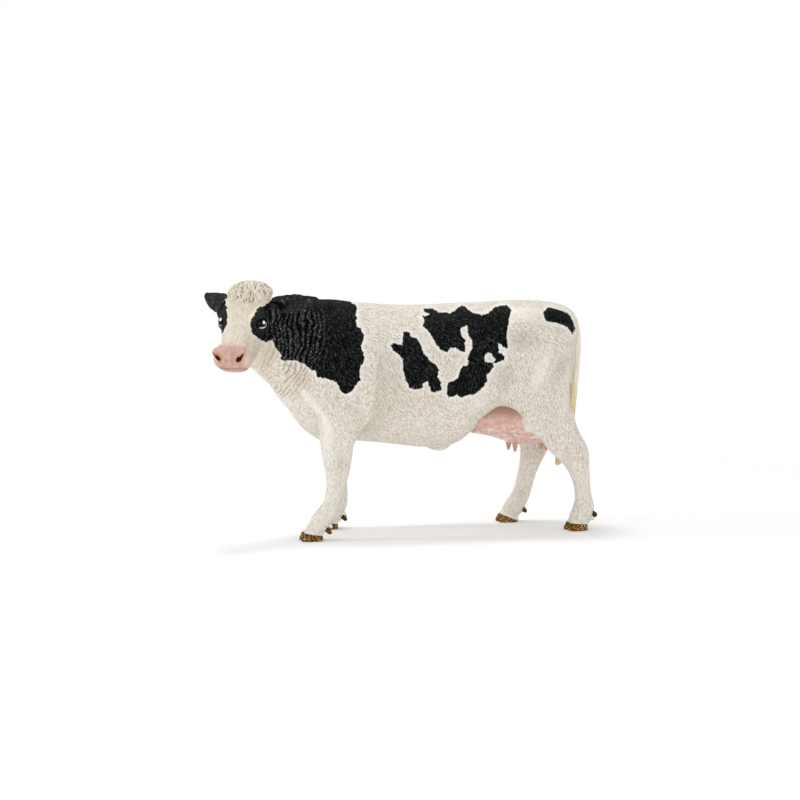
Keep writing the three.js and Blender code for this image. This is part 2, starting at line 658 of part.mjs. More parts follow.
// The tail's middle line from its root on the rump down to the tip of the switch: back by trunkLength, height
// by backHeight; radius by tailRadius.
const tailShares = [
  [0.47, 0.955, 1.1],
  [0.541, 0.935, 1.45],
  [0.571, 0.87, 1.15],
  [0.578, 0.8, 1],
  [0.575, 0.7, 0.9],
  [0.567, 0.6, 0.8],
  [0.557, 0.5, 0.95],
  [0.545, 0.42, 1.25],
  [0.53, 0.35, 1.4],
  [0.512, 0.3, 1],
  [0.5, 0.27, 0.3],
];

function tailLine() {
  const rows = smoothRows(tailShares, sections.tail);
  const line = rows.map(([back, height]) => vector(0, alongTrunk(back), height * backHeight));
  return rows.map(([, , radius], k) => {
    const next = line[Math.min(k + 1, line.length - 1)];
    const ahead = next.clone().sub(line[Math.max(k - 1, 0)]).normalize();
    return { centre: line[k], ahead, radius: radius * tailRadius };
  });
}

function tailSolid(grow = 0) {
  const side = vector(1, 0, 0);
  const rings = tailLine().map(({ centre, ahead, radius }) => {
    const out = side.clone().cross(ahead);
    return Array.from({ length: facets.tail }, (_, k) => {
      const angle = (k / facets.tail) * 2 * Math.PI;
      const round = side.clone().multiplyScalar(Math.cos(angle)).addScaledVector(out, Math.sin(angle));
      return centre.clone().addScaledVector(round, radius + grow);
    });
  });
  return solid(loft(rings));
}

// Udder

// Sections of the udder from front to back: place along udderLength; top and bottom between udderBottom and
// udderTop; half width by half of udderWidth; widest level; squareness above and below.
const udderShares = [
  [-0.02, 0.8, 0.4, 0.3, 0.5, 2, 2],
  [0.06, 0.95, 0.29, 0.68, 0.55, 2, 2],
  [0.2, 1, 0.26, 0.94, 0.6, 2, 2],
  [0.38, 1, 0.15, 1, 0.6, 2, 2.2],
  [0.56, 1, 0.03, 0.98, 0.6, 2, 2.3],
  [0.74, 1, 0, 0.9, 0.6, 2, 2.3],
  [0.9, 1, 0.02, 0.7, 0.6, 2, 2.2],
  [0.98, 0.9, 0.16, 0.36, 0.5, 2, 2],
];
const udderFrontShare = 0.11; // where the udder starts, along trunkLength
const udderLengthShare = 0.345; // by trunkLength
const udderWidthShare = 0.73; // by barrelWidth
const udderTopShare = 0.34; // its top inside the groin, as high up the trunk
const udderBottomShare = 0.0085; // its underside, the same way
const udderLength = udderLengthShare * trunkLength;
const udderWidth = udderWidthShare * barrelWidth;
const udderTop = upTrunk(udderTopShare);
const udderBottom = upTrunk(udderBottomShare);
const teatShares = { front: 0.575, rear: 0.87, side: 0.12 }; // by udderLength, udderLength and udderWidth

const udderLevel = (share) => udderBottom + share * (udderTop - udderBottom);

function udderSolid() {
  const rings = smoothRows(udderShares, sections.udder).map(([place, roof, floor, width, ...shape]) => {
    const [widest, crown, keel] = shape;
    const size = { half: (width * udderWidth) / 2, top: udderLevel(roof), bottom: udderLevel(floor) };
    const y = alongTrunk(udderFrontShare) + place * udderLength;
    return section({ ...size, widest, crown, keel }, facets.udder).map(([x, z]) => vector(x, y, z));
  });
  return solid(loft(rings));
}

function teat(left, place) {
  const y = alongTrunk(udderFrontShare) + place * udderLength;
  const centre = vector(left * teatShares.side * udderWidth, y, udderBottom);
  return ball(centre, vector(teatRadius, teatRadius, teatLength), undefined, facets.small);
}

function udder(taken) {
  const seat = vector(0, alongTrunk(udderFrontShare) + udderLength / 2, udderTop);
  let made = udderSolid();
  for (const left of [1, -1]) {
    for (const place of [teatShares.front, teatShares.rear]) made = made.add(teat(left, place));
  }
  for (const space of taken) made = made.subtract(space);
  return piece("udder", made.add(udderPeg()), pinkSkin, seat);
}

// The udder's peg stands up into the belly ahead of the groin.
const udderPegShares = { place: 0.3, level: 0.55, length: 1.5 }; // by udderLength, udder height and pegLength

function udderPeg(grow = 0) {
  const y = alongTrunk(udderFrontShare) + udderPegShares.place * udderLength;
  const seat = vector(0, y, udderLevel(udderPegShares.level));
  return peg(seat, up, { grow, length: udderPegShares.length * pegLength });
}

const trunkSpace = trunk(fitGap);

function body() {
  let made = trunk().add(navel());
  for (const name of limbNames) made = made.add(limb(name).intersect(beyond(limbSeat(name), up)));
  made = made.subtract(beyond(headSeat, forwards)).subtract(peg(headSeat, backwards, { grow: fitGap }));
  for (const name of limbNames) made = made.subtract(peg(limbSeat(name), up, { grow: fitGap }));
  made = made.subtract(udderPeg(fitGap)).subtract(tailSolid(fitGap));
  return piece("body", made, whiteCoat, vector(0, 0, 0));
}

const cow = new THREE.Group();
cow.add(body(), head(), ear("ear_left", 1, trunkSpace), ear("ear_right", -1, trunkSpace));
for (const name of limbNames) cow.add(leg(name, trunkSpace));
cow.add(udder([trunkSpace, ...limbNames.map((name) => limb(name, fitGap))]));
cow.add(piece("tail", tailSolid(), creamHair, tailLine()[0].centre));

const part = new THREE.Group();
part.add(cow);
part.updateMatrixWorld(true);
const box = new THREE.Box3().setFromObject(part, true);
cow.position.set(-(box.min.x + box.max.x) / 2, -(box.min.y + box.max.y) / 2, -box.min.z);
export default part;
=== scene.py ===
import math

import bmesh
import bpy
import numpy as np
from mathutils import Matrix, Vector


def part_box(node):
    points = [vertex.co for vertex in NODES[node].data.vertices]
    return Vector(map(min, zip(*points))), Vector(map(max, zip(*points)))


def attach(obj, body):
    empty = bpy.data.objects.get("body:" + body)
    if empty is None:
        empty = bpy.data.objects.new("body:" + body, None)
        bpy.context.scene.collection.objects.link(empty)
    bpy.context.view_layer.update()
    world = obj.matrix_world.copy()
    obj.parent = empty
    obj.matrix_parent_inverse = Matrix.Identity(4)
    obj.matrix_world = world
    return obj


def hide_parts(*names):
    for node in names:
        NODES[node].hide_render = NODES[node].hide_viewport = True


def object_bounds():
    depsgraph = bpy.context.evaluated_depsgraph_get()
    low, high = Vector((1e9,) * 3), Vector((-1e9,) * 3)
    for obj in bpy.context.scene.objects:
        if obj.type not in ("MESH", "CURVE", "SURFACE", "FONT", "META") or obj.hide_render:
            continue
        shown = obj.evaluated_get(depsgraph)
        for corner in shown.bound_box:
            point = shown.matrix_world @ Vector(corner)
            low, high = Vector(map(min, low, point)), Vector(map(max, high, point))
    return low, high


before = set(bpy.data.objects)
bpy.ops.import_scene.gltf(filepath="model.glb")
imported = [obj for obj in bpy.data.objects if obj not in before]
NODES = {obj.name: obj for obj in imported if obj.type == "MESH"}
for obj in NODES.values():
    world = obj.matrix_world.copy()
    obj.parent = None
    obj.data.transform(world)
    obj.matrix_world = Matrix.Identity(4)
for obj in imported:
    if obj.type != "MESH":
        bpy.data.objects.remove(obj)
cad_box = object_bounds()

import openvdb
from mathutils import Matrix, Vector

# Lengths are in millimetres and are turned into metres where a mesh is made. +Z is up, the cow walks
# towards -Y and its left side is +X. A pair of numbers is where a fade starts and where it ends, and four
# are where a window opens, is open, begins to close and is shut.
MM = 0.001
LOW, HIGH = np.array(cad_box[0]) / MM, np.array(cad_box[1]) / MM  # the solids' box
SIDES = (1, -1)  # the cow's left and right
MIDDLE = -1.7  # of the trunk, across X

# The photograph's camera
PIXELS = 800
FOCAL_PIXELS = 1550
HORIZON_PIXEL = 300
PIXELS_PER_MM = 3.12  # at the cow
SENSOR_MM = 36
CAMERA_AT = np.array([474.863, -127.709, 74.0])
CAMERA_TURN = 75.0
CAMERA_REACH = 20000

# Where the pieces are parted
NECK_CUT = -34.59
FORE_CUT, HIND_CUT = 28.194, 35.964
FORE_LEGS_END, HIND_LEGS_START = -5.0, 32.0
CUT_REACH = 3.0  # how far above a limb's parting its cut is looked for

# Grids: the finer, the smaller the features of the piece
FINE, MEDIUM, COARSE = 0.22, 0.25, 0.36
BAND = 4.5  # how far from the surface distances are kept
BLUR_REACH_SHARE = 2.6  # how far a blur reaches, of its size

TINY, TINY_AREA, TINY_SLOPE = 1e-9, 1e-12, 1e-6  # these keep divisions from zero
OUTSIDE = -3.0  # depth of what lies well outside a painted form


def turn_matrix(axis, degrees):
    return np.array(Matrix.Rotation(math.radians(degrees), 3, axis))


# The head's own frame: X to its left, -Y along the face to the muzzle, Z out of the forehead
POLL = np.array([4.3, -49.3, 77.6])
HEAD_TURN, HEAD_NOD, HEAD_TILT = 60.0, 45.0, 4.0
HEAD = turn_matrix("Z", HEAD_TURN) @ turn_matrix("X", HEAD_NOD) @ turn_matrix("Y", HEAD_TILT)


def to_head(points):
    return (points - POLL) @ HEAD


def on_head(place):
    return POLL + HEAD @ np.array(place, float)


# Numbers on points

def fade(value, start, end):
    """0 before start and 1 after end, smoothly; start may lie above end."""
    t = np.clip((value - start) / (end - start), 0, 1)
    return t * t * (3 - 2 * t)


def window(value, start, full, fall, end):
    """1 from full to fall, and 0 before start and after end."""
    return fade(value, start, full) * fade(value, end, fall)


CELL_PRIMES = (73856093, 19349663, 83492791)
SEED_PRIME, MIXING_PRIME = 2654435, 1274126177
POSITIVE = 0x7FFFFFFF
NOISE_GAIN = 1.6  # brings the noise's extremes near -1 and 1
STROKE_SAMPLES = 7


def corner_hash(cell, seed):
    n = seed * SEED_PRIME
    for axis, prime in enumerate(CELL_PRIMES):
        n = n ^ (cell[..., axis] * prime)
    n = (n ^ (n >> 13)) * MIXING_PRIME & POSITIVE
    return (n ^ (n >> 16)) & POSITIVE


def noise(points, size, seed):
    """Smooth noise from -1 to 1 with features of a size in mm."""
    p = points / size
    cell = np.floor(p).astype(np.int64)
    f = p - cell
    w = f * f * f * (f * (f * 6 - 15) + 10)
    total = np.zeros(len(points))
    for corner in np.ndindex(2, 2, 2):
        h = corner_hash(cell + corner, seed)
        gradient = np.stack([((h >> bits) & 1023) / 511.5 - 1 for bits in (0, 10, 20)], -1)
        weight = np.prod(np.where(corner, w, 1 - w), axis=-1)
        total += weight * np.einsum("ij,ij->i", gradient, f - corner)
    return total * NOISE_GAIN


def ripple(points, layer):
    """Noise given by its strength, size and seed."""
    strength, size, seed = layer
    return strength * noise(points, size, seed)


def strokes(points, along, size, length, seed):
    """Noise drawn out along a direction, as combed hair is."""
    steps = (np.arange(STROKE_SAMPLES) / (STROKE_SAMPLES - 1) - 0.5) * length
    return sum(noise(points + along * s, size, seed) for s in steps) / math.sqrt(STROKE_SAMPLES)


def along_surface(way, normals):
    """Lays directions flat on the surface."""
    way = way - normals * np.einsum("ij,ij->i", way, normals)[:, None]
    return way / (np.linalg.norm(way, axis=1, keepdims=True) + TINY)


def everywhere(value, points):
    """The same number or direction for each point."""
    return np.zeros_like(points) + value if np.ndim(value) else np.full(len(points), value)


# Distance fields of the frame's solids

def read(data, key, width, kind=np.float32):
    """The numbers of a mesh's points, corners or faces, a row for each."""
    out = np.empty(len(data) * width, kind)
    data.foreach_get(key, out)
    return out.reshape(-1, width)


def solids(names):
    points, faces, count = [], [], 0
    for name in names:
        mesh = NODES[name].data
        mesh.calc_loop_triangles()
        points.append(read(mesh.vertices, "co", 3) / MM)
        faces.append(read(mesh.loop_triangles, "vertices", 3, np.int32) + count)
        count += len(mesh.vertices)
    return np.vstack(points).astype(np.float32), np.vstack(faces).astype(np.uint32)


class Field:
    """Distances to a surface on an even grid, negative inside."""

    def __init__(self, names, low, high, voxel):
        points, faces = solids(names)
        self.voxel = voxel
        self.low = np.floor(np.array(low) / voxel).astype(int)
        size = np.ceil(np.array(high) / voxel).astype(int) - self.low + 1
        self.scale = openvdb.createLinearTransform(voxelSize=voxel)
        grid = openvdb.FloatGrid.createLevelSetFromPolygons(
            points, triangles=faces, transform=self.scale, halfWidth=BAND / voxel)
        self.d = np.empty(size, np.float32)
        grid.copyToArray(self.d, ijk=self.corner())

    def corner(self):
        return tuple(int(v) for v in self.low)

    def whole(self):
        return tuple(slice(0, n) for n in self.d.shape)

    def part(self, centre, reach):
        first = np.maximum(np.floor((np.array(centre) - reach) / self.voxel).astype(int) - self.low, 0)
        last = np.minimum(np.ceil((np.array(centre) + reach) / self.voxel).astype(int) - self.low + 1,
                          self.d.shape)
        return tuple(slice(int(a), int(max(a, b))) for a, b in zip(first, last))

    def axes(self, part=None):
        """X, Y and Z of the grid, each laid out along its own direction of the array."""
        out = []
        for k, cut in enumerate(part or self.whole()):
            values = (np.arange(cut.start, cut.stop) + self.low[k]) * self.voxel
            out.append(values.reshape([-1 if j == k else 1 for j in range(3)]).astype(np.float32))
        return out

    def own_axes(self, centre, turn, part=None):
        """The grid in a frame of its own, given by its middle and its axes as columns."""
        p = [v - c for v, c in zip(self.axes(part), centre)]
        return [sum(turn[j, k] * p[j] for j in range(3)) for k in range(3)]

    def blurred(self, sigma):
        reach = int(math.ceil(BLUR_REACH_SHARE * sigma / self.voxel))
        taps = np.exp(-0.5 * (np.arange(-reach, reach + 1) * self.voxel / sigma) ** 2)
        taps /= taps.sum()
        out = self.d
        for axis in range(3):
            pad = [(reach, reach) if k == axis else (0, 0) for k in range(3)]
            wide = np.pad(out, pad, mode="edge")
            n = out.shape[axis]
            out = np.zeros_like(out)
            for k, tap in enumerate(taps):
                cut = tuple(slice(k, k + n) if a == axis else slice(None) for a in range(3))
                out += np.float32(tap) * wide[cut]
        return out

    def swell(self, amount):
        """Moves the surface out by an amount that may vary over the grid."""
        self.d = self.d - np.asarray(amount).astype(np.float32)

    def shift(self, amount, axis):
        """Moves the forms along an axis by an amount that may vary over the grid."""
        last = self.d.shape[axis] - 1
        source = (self.axes()[axis] - amount) / self.voxel - self.low[axis]
        source = np.broadcast_to(np.clip(source, 0, last - 0.001), self.d.shape)
        first = np.floor(source).astype(int)
        share = (source - first).astype(np.float32)
        before = np.take_along_axis(self.d, first, axis=axis)
        after = np.take_along_axis(self.d, first + 1, axis=axis)
        self.d = before + (after - before) * share

    def blend(self, other, edge, part=None, carve=False):
        """Joins or carves a form given by its distances, with a soft edge."""
        part = part or self.whole()
        a = -self.d[part] if carve else self.d[part]
        h = np.clip(0.5 + 0.5 * (a - other) / edge, 0, 1)
        mixed = a + (other - a) * h - edge * h * (1 - h)
        self.d[part] = -mixed if carve else mixed

    def ellipsoid(self, centre, radii, turn, edge, carve=False):
        part = self.part(centre, max(radii) + 3 * edge + 2 * self.voxel)
        q = self.own_axes(centre, turn, part)
        k0 = np.sqrt(sum((q[k] / radii[k]) ** 2 for k in range(3)))
        k1 = np.sqrt(sum((q[k] / radii[k] ** 2) ** 2 for k in range(3))) + TINY_SLOPE
        self.blend((k0 * (k0 - 1) / k1).astype(np.float32), edge, part, carve)

    def surface(self):
        grid = openvdb.FloatGrid(BAND)
        grid.transform = self.scale
        grid.copyFromArray(np.ascontiguousarray(self.d), ijk=self.corner())
        points, quads = grid.convertToQuads(0.0)
        return Surface(np.array(points, np.float64), np.array(quads, np.int64))


class Surface:
    """Points and four-sided faces."""

    def __init__(self, points, quads):
        self.points, self.quads = points, quads

    def raise_by(self, relief):
        self.points = self.points + self.normals() * relief[:, None]

    def normals(self):
        a, b, c, d = (self.points[self.quads[:, k]] for k in range(4))
        face = np.cross(c - a, d - b)
        out = np.zeros_like(self.points)
        for k in range(4):
            for axis in range(3):
                out[:, axis] += np.bincount(self.quads[:, k], face[:, axis], len(out))
        return out / (np.linalg.norm(out, axis=1, keepdims=True) + TINY_AREA)


HOLLOW_BLUR = 0.7


def hollows(surface, field):
    """How hollow the surface is at each point: positive in grooves and negative on ridges."""
    soft = field.blurred(HOLLOW_BLUR)
    index = surface.points / field.voxel - field.low
    base = np.clip(np.floor(index).astype(int), 0, np.array(soft.shape) - 2)
    f = index - base
    value = np.zeros(len(index))
    for corner in np.ndindex(2, 2, 2):
        weight = np.prod(np.where(corner, f, 1 - f), axis=1)
        value += weight * soft[tuple((base + corner).T)]
    return -value


# The photograph's view of a point, in pixels

def camera_axes():
    turn = math.radians(CAMERA_TURN)
    right = np.array([math.cos(turn), math.sin(turn), 0])
    pitch = math.atan((PIXELS / 2 - HORIZON_PIXEL) / FOCAL_PIXELS)
    back = np.array([math.sin(turn), -math.cos(turn), 0])
    forward = -back * math.cos(pitch) - np.array([0, 0, math.sin(pitch)])
    return right, np.cross(right, forward), forward


def in_photo(points):
    right, up, forward = camera_axes()
    q = points - CAMERA_AT
    depth = q @ forward
    return np.stack([PIXELS / 2 + FOCAL_PIXELS * (q @ right) / depth,
                     PIXELS / 2 - FOCAL_PIXELS * (q @ up) / depth], -1)


# The coat's black patches

# Outlines in the photograph's pixels; the right side's are drawn as its mirror image would look from there
NECK_PATCH = [
    (274, 285), (300, 280), (330, 280), (346, 284), (348, 300), (351, 302.5), (355.5, 305), (357, 310),
    (355.5, 314), (357, 318), (356, 322), (357, 326), (361, 329), (363, 333), (364, 336), (363, 341),
    (361, 346), (362, 350), (364, 354), (365, 359), (363, 363), (361, 365), (360, 370), (359.5, 375),
    (360.5, 381), (357, 383), (354, 388), (351, 392), (346, 394), (342, 392), (339, 388), (338, 384),
    (334, 381), (330, 380), (325, 378), (320, 377), (318, 378), (316, 375), (315, 371), (311, 370),
    (308, 367), (304, 364), (300, 362), (296, 360), (290, 360.5), (284, 361), (281, 359), (282, 355),
    (279, 352), (276, 348), (274, 344), (272, 340), (269, 341), (266, 342), (261, 340), (257, 337),
    (253, 334), (251, 330), (250, 324), (252, 318), (255, 314), (257, 309), (260, 307), (264, 306),
    (267.8, 303.6), (271.5, 300.5), (274, 295.5),
]
SMALL_PATCH = [
    (406, 331), (403, 333), (403, 338), (402, 345), (397.5, 344), (393, 343), (390, 345.5), (393, 350),
    (400, 355), (403, 360), (403, 370), (406, 380), (409, 387), (413, 389), (417.5, 390), (422.5, 387),
    (424, 382.5), (427.5, 381), (430, 387), (431, 392), (435, 392.5), (441, 390), (441, 383), (438, 377),
    (439, 370), (436, 365), (431, 362), (428, 357.5), (423, 352), (421, 345), (417, 338), (412, 337),
    (409, 332.5),
]
FLANK_PATCH = [
    (423, 309), (431, 308), (438, 312), (450, 313), (455, 310), (459, 307), (462.5, 305), (469, 310),
    (473, 313), (482, 315), (488, 313), (495, 307.5), (501, 305), (507, 305), (512, 311), (509, 317.5),
    (509, 323), (507, 330), (507, 338), (508, 348), (504, 347.5), (498, 343), (499, 352), (505, 356),
    (504, 360), (498, 363), (494, 362.5), (495, 359), (491, 353), (487, 353), (484, 358), (485, 362),
    (492, 363), (494, 367), (487, 375), (487, 382), (483, 387), (478, 392), (473, 395), (467, 395),
    (462.5, 398), (457, 395), (449, 398), (447, 392), (448, 382.5), (455, 380), (459, 376), (460, 371),
    (463, 366), (468, 365), (468, 357), (472, 347), (472, 340), (467.5, 334), (467.5, 327.5), (466, 326),
    (461, 328), (461, 334), (465, 340), (465, 348), (466, 352), (462.5, 352), (455, 347.5), (450, 348),
    (447, 352.5), (440, 349), (435, 343), (433, 338), (430, 333), (422.5, 326), (425, 321), (422, 316),
    (427, 316), (430, 314), (423, 311),
]
RUMP_PATCH = [
    (547.5, 307), (546, 310), (543, 313), (544, 318), (547, 322), (555, 322.5), (563, 325), (568, 327.5),
    (573, 335), (575, 328), (572.5, 320), (568, 314), (562, 311), (555, 309),
]
FAR_SHOULDER_PATCH = [
    (398, 312), (412, 309), (430, 311), (440, 318), (447, 330), (444, 345), (450, 356), (446, 372),
    (436, 380), (428, 394), (418, 399), (410, 390), (404, 378), (396, 372), (392, 358), (398, 346),
    (394, 330),
]
FAR_RUMP_PATCH = [
    (508, 307), (530, 304), (552, 306), (562, 314), (566, 330), (560, 342), (563, 356), (556, 372),
    (544, 384), (532, 380), (526, 366), (514, 360), (506, 346), (511, 332), (504, 318),
]

LEFT_PATCHES = [NECK_PATCH, SMALL_PATCH, FLANK_PATCH, RUMP_PATCH]
RIGHT_PATCHES = [NECK_PATCH, FAR_SHOULDER_PATCH, FAR_RUMP_PATCH]
NECK_SWING = 3.2  # how far the neck's middle swings to the left
NECK_SWING_ALONG = (-20, -48)
POLL_ALONG, POLL_ROUND = (2, -4), (40, 30)  # where the trunk's patches give way to the head's


def inside_distance(points, outline):
    """Distance to an outline in the plane, positive inside it."""
    start = np.array(outline, float)
    end = np.roll(start, -1, axis=0)
    best = np.full(len(points), np.inf)
    inside = np.zeros(len(points), bool)
    for (ax, ay), (bx, by) in zip(start, end):
        px, py = points[:, 0] - ax, points[:, 1] - ay
        dx, dy = bx - ax, by - ay
        t = np.clip((px * dx + py * dy) / (dx * dx + dy * dy), 0, 1)
        best = np.minimum(best, (px - t * dx) ** 2 + (py - t * dy) ** 2)
        crosses = (ay > points[:, 1]) != (by > points[:, 1])
        at = ax + (points[:, 1] - ay) * dx / (dy if dy else TINY)
        inside ^= crosses & (points[:, 0] < at)
    return np.where(inside, 1, -1) * np.sqrt(best)


def patch_depth(outlines, points):
    """How far inside the nearest of some patches each point lies, in pixels."""
    view = in_photo(points)
    return np.max([inside_distance(view, outline) for outline in outlines], axis=0)


def black_patches(points):
    """How far inside a black patch each point of the coat lies, in mm."""
    own = to_head(points)
    middle = NECK_SWING * fade(points[:, 1], *NECK_SWING_ALONG)
    at_head = fade(own[:, 1], *POLL_ALONG) * fade(np.linalg.norm(own, axis=1), *POLL_ROUND)
    body_mirror = points.copy()
    body_mirror[:, 0] = 2 * middle - points[:, 0]
    head_mirror = (own * [-1, 1, 1]) @ HEAD.T + POLL
    left = patch_depth(LEFT_PATCHES, points)
    on_body = np.where(points[:, 0] > middle, left, patch_depth(RIGHT_PATCHES, body_mirror))
    head = np.where(own[:, 0] > 0, left, patch_depth([NECK_PATCH], head_mirror))
    return (on_body + (head - on_body) * at_head) / PIXELS_PER_MM


# Hair, folds and muscles

# How steeply the coat runs down towards the tail at places along and up the cow: y, z, degrees
COMB_PLACES = [
    (-40, 66, 70), (-36, 48, 64), (-20, 60, 62), (-11, 52, 58), (-22, 50, 60), (-24, 44, 62), (-27, 20, 88),
    (-5, 70, 20), (-1, 43, 56), (4, 58, 58), (20, 60, 52), (21, 48, 118), (10, 32, 14), (-14, 31, 20),
    (28, 71, 24), (41, 56, 50), (41, 42, 54), (34, 64, 44), (52, 66, 62), (54, 40, 70), (52, 22, 84),
    (56, 8, 88), (-32, 8, 80), (38, 16, 92), (0, 75, 8), (40, 76, 10),
]
COMB_REACH = 8.0
COMB_LEAST = 1e-7  # weight of a place far away
COMB_SWAY = (16, 9, 5)  # strength in degrees, size and seed
COMB_SPLAY = (0.15, 8, 8)

# The face as a rod with rounded ends: its length, its depth under the forehead and its edge
FACE_LENGTH, FACE_DEPTH = 27, 5.5
FACE_EDGE, POLL_EDGE = (14, 10), (3, -3)


def head_share(own):
    """1 on the face and 0 from the neck on, for points in the head's frame."""
    along = np.clip(-own[:, 1], 0, FACE_LENGTH)
    axis = np.stack([0 * along, -along, 0 * along - FACE_DEPTH], 1)
    return fade(np.linalg.norm(own - axis, axis=1), *FACE_EDGE) * fade(own[:, 1], *POLL_EDGE)


def hair_direction(points, normals):
    """The way the coat is combed."""
    y, z = points[:, 1], points[:, 2]
    total, slope = np.full(len(points), TINY), np.zeros(len(points))
    for place_y, place_z, degrees in COMB_PLACES:
        square = (y - place_y) ** 2 + (z - place_z) ** 2
        weight = np.exp(-square / (2 * COMB_REACH ** 2)) + COMB_LEAST
        total += weight
        slope += weight * degrees
    slope = np.radians(slope / total + ripple(points, COMB_SWAY))
    way = np.stack([ripple(points, COMB_SPLAY), np.cos(slope), -np.sin(slope)], -1)
    down_face = HEAD @ np.array([0, -1, 0])
    face = head_share(to_head(points))[:, None]
    return along_surface(way * (1 - face) + everywhere(down_face, points) * face, normals)


# Folds of skin across the neck, which bend back below a level
FOLD_PITCH = 1.62
FOLD_BEND_LEVEL, FOLD_BEND_EASE, FOLD_BEND_SHARE = 56, 3.0, 0.62
FOLD_DRIFT, FOLD_WAVER = (1.5, 7, 21), (0.6, 2.4, 22)
FOLD_GROOVE_SHARES = (0.35, 0.95)  # of half a pitch
FOLDS_ALONG, FOLDS_UP = (-47, -42, -30, -23), (40, 47, 69, 73)
FOLDS_LOW, FOLDS_LOW_SHARE = (60, 50), 0.4  # where and how much they grow shallow
FOLD_BREAKS, FOLD_BREAK_STRETCH, FOLD_BREAK_RANGE = (1, 3.2, 23), (1, 0.8, 0.4), (-0.7, 0.3)
FOLD_UNBROKEN_SHARE, FOLD_RIDGE_SHARE = 0.3, 0.35
FOLD_BUMPS = (0.4, 0.8, 24)


def neck_folds(points):
    """Folds of skin across the neck: positive in a groove and negative on the ridge beside it."""
    y, z = points[:, 1], points[:, 2]
    bend = FOLD_BEND_EASE * np.log1p(np.exp((FOLD_BEND_LEVEL - z) / FOLD_BEND_EASE))
    line = y + FOLD_BEND_SHARE * bend + ripple(points, FOLD_DRIFT) + ripple(points, FOLD_WAVER)
    wave = np.abs(((line / FOLD_PITCH) % 1) * 2 - 1)
    groove = fade(wave, *FOLD_GROOVE_SHARES)
    place = window(line, *FOLDS_ALONG) * window(z, *FOLDS_UP)
    depth = 1 - FOLDS_LOW_SHARE * fade(z, *FOLDS_LOW)
    whole = fade(ripple(points * FOLD_BREAK_STRETCH, FOLD_BREAKS), *FOLD_BREAK_RANGE)
    groove = groove * (FOLD_UNBROKEN_SHARE + (1 - FOLD_UNBROKEN_SHARE) * whole)
    return place * depth * (groove - FOLD_RIDGE_SHARE + ripple(points, FOLD_BUMPS))


# Lines on the shoulder as places along Y and Z: the ridge down its front and the crease behind it
SHOULDER_RIDGE = [(-26.2, 28), (-26.2, 34), (-27.4, 38.5), (-30.4, 42.4), (-33, 46), (-36, 49)]
SHOULDER_CREASE = [
    (-17.5, 31), (-15.5, 33), (-13.2, 36), (-12.9, 42), (-12.7, 47), (-12.2, 54), (-10.5, 60),
]
RIDGE_HEIGHT, RIDGE_WIDTH, RIDGE_UP = 0.6, 1.4, (27, 32, 44, 50)
CREASE_DEPTH, CREASE_UP = 0.42, (31, 34, 54, 64)
CREASE_GROOVE_SHARE, CREASE_GROOVE_AT, CREASE_GROOVE_WIDTH = 0.35, 0.9, 1.0
CREASE_STEP_SHARE, CREASE_STEP = 0.75, (-0.7, 1.2, 2, 13)

# Soft forms of the sides: place along Y and Z, half length, half width, slope in degrees, height
FORMS = [
    (37.6, 69.3, 6.0, 3.0, 0, 0.6), (36.0, 61.8, 5.0, 4.0, 0, -0.6), (29.9, 49.4, 4.0, 5.0, 0, -0.5),
    (41.8, 52.0, 8.0, 2.2, 65, 0.6), (47.4, 51.4, 6.0, 2.6, 65, -0.45), (44.9, 37.0, 5.0, 5.0, 0, -0.3),
    (20.5, 41.8, 6.0, 3.0, 26, 0.4), (-23.1, 23.3, 8.0, 1.7, 88, -0.35), (-27.4, 26.5, 8.0, 1.5, 95, 0.2),
    (51.5, 23.3, 7.0, 1.8, 95, -0.3), (-14.9, 35.6, 3.0, 0.8, 55, 0.3), (-13.2, 35.0, 3.0, 0.8, 55, -0.3),
    (2.0, 44.0, 15.0, 9.0, 0, -0.25),
]
FACING_SIDE = (0.2, 0.6)  # how far a normal turns to the side


def behind(points, line):
    """How far behind a line a point lies."""
    y, z = np.array(line).T
    return points[:, 1] - np.interp(points[:, 2], z, y)


def side_forms(points, normals):
    """Muscles and creases of the sides, as heights over the plain trunk."""
    z = points[:, 2]
    ridge = np.exp(-(behind(points, SHOULDER_RIDGE) / RIDGE_WIDTH) ** 2)
    past = behind(points, SHOULDER_CREASE)
    groove = np.exp(-((past - CREASE_GROOVE_AT) / CREASE_GROOVE_WIDTH) ** 2)
    crease = CREASE_GROOVE_SHARE * groove + CREASE_STEP_SHARE * window(past, *CREASE_STEP)
    total = RIDGE_HEIGHT * ridge * window(z, *RIDGE_UP) - CREASE_DEPTH * crease * window(z, *CREASE_UP)
    for y, level, length, width, degrees, height in FORMS:
        c, s = math.cos(math.radians(degrees)), math.sin(math.radians(degrees))
        dy, dz = points[:, 1] - y, z - level
        total += height * np.exp(-((dy * c + dz * s) / length) ** 2 - ((dz * c - dy * s) / width) ** 2)
    return total * fade(np.abs(normals[:, 0]), *FACING_SIDE)


# Flank and buttocks

# Over the udder the flank's lower edge is lifted in front and lowered behind: places along Y, lift
FLANK_LIFT = [
    (17, 0.0), (19.5, 0.3), (22, 0.8), (25, 0.6), (28.5, -0.5), (31, -2.2), (33, -4.2), (34.7, -5.7),
    (36.5, -6.2), (38.5, -4.9), (41, -2.5), (44, -0.8), (47, -0.1), (50, 0.0),
]
FLANK_UP = (28.5, 32.5, 42, 53)
BUTTOCK_INSET = 1.1
BUTTOCK_ACROSS, BUTTOCK_ALONG, BUTTOCK_UP = (1.7, 3.6), (50, 56), (37, 41, 64, 69)
BUTTOCK_LOW, BUTTOCK_LOW_SHARE = (52, 46), 1.2  # where and how much deeper they are drawn in


def lift_flank(field):
    x, y, z = field.axes()
    places, lifts = np.array(FLANK_LIFT).T
    lift = np.interp(y, places, lifts) * window(z, *FLANK_UP)
    if np.abs(lift).max():
        field.shift(lift, 2)


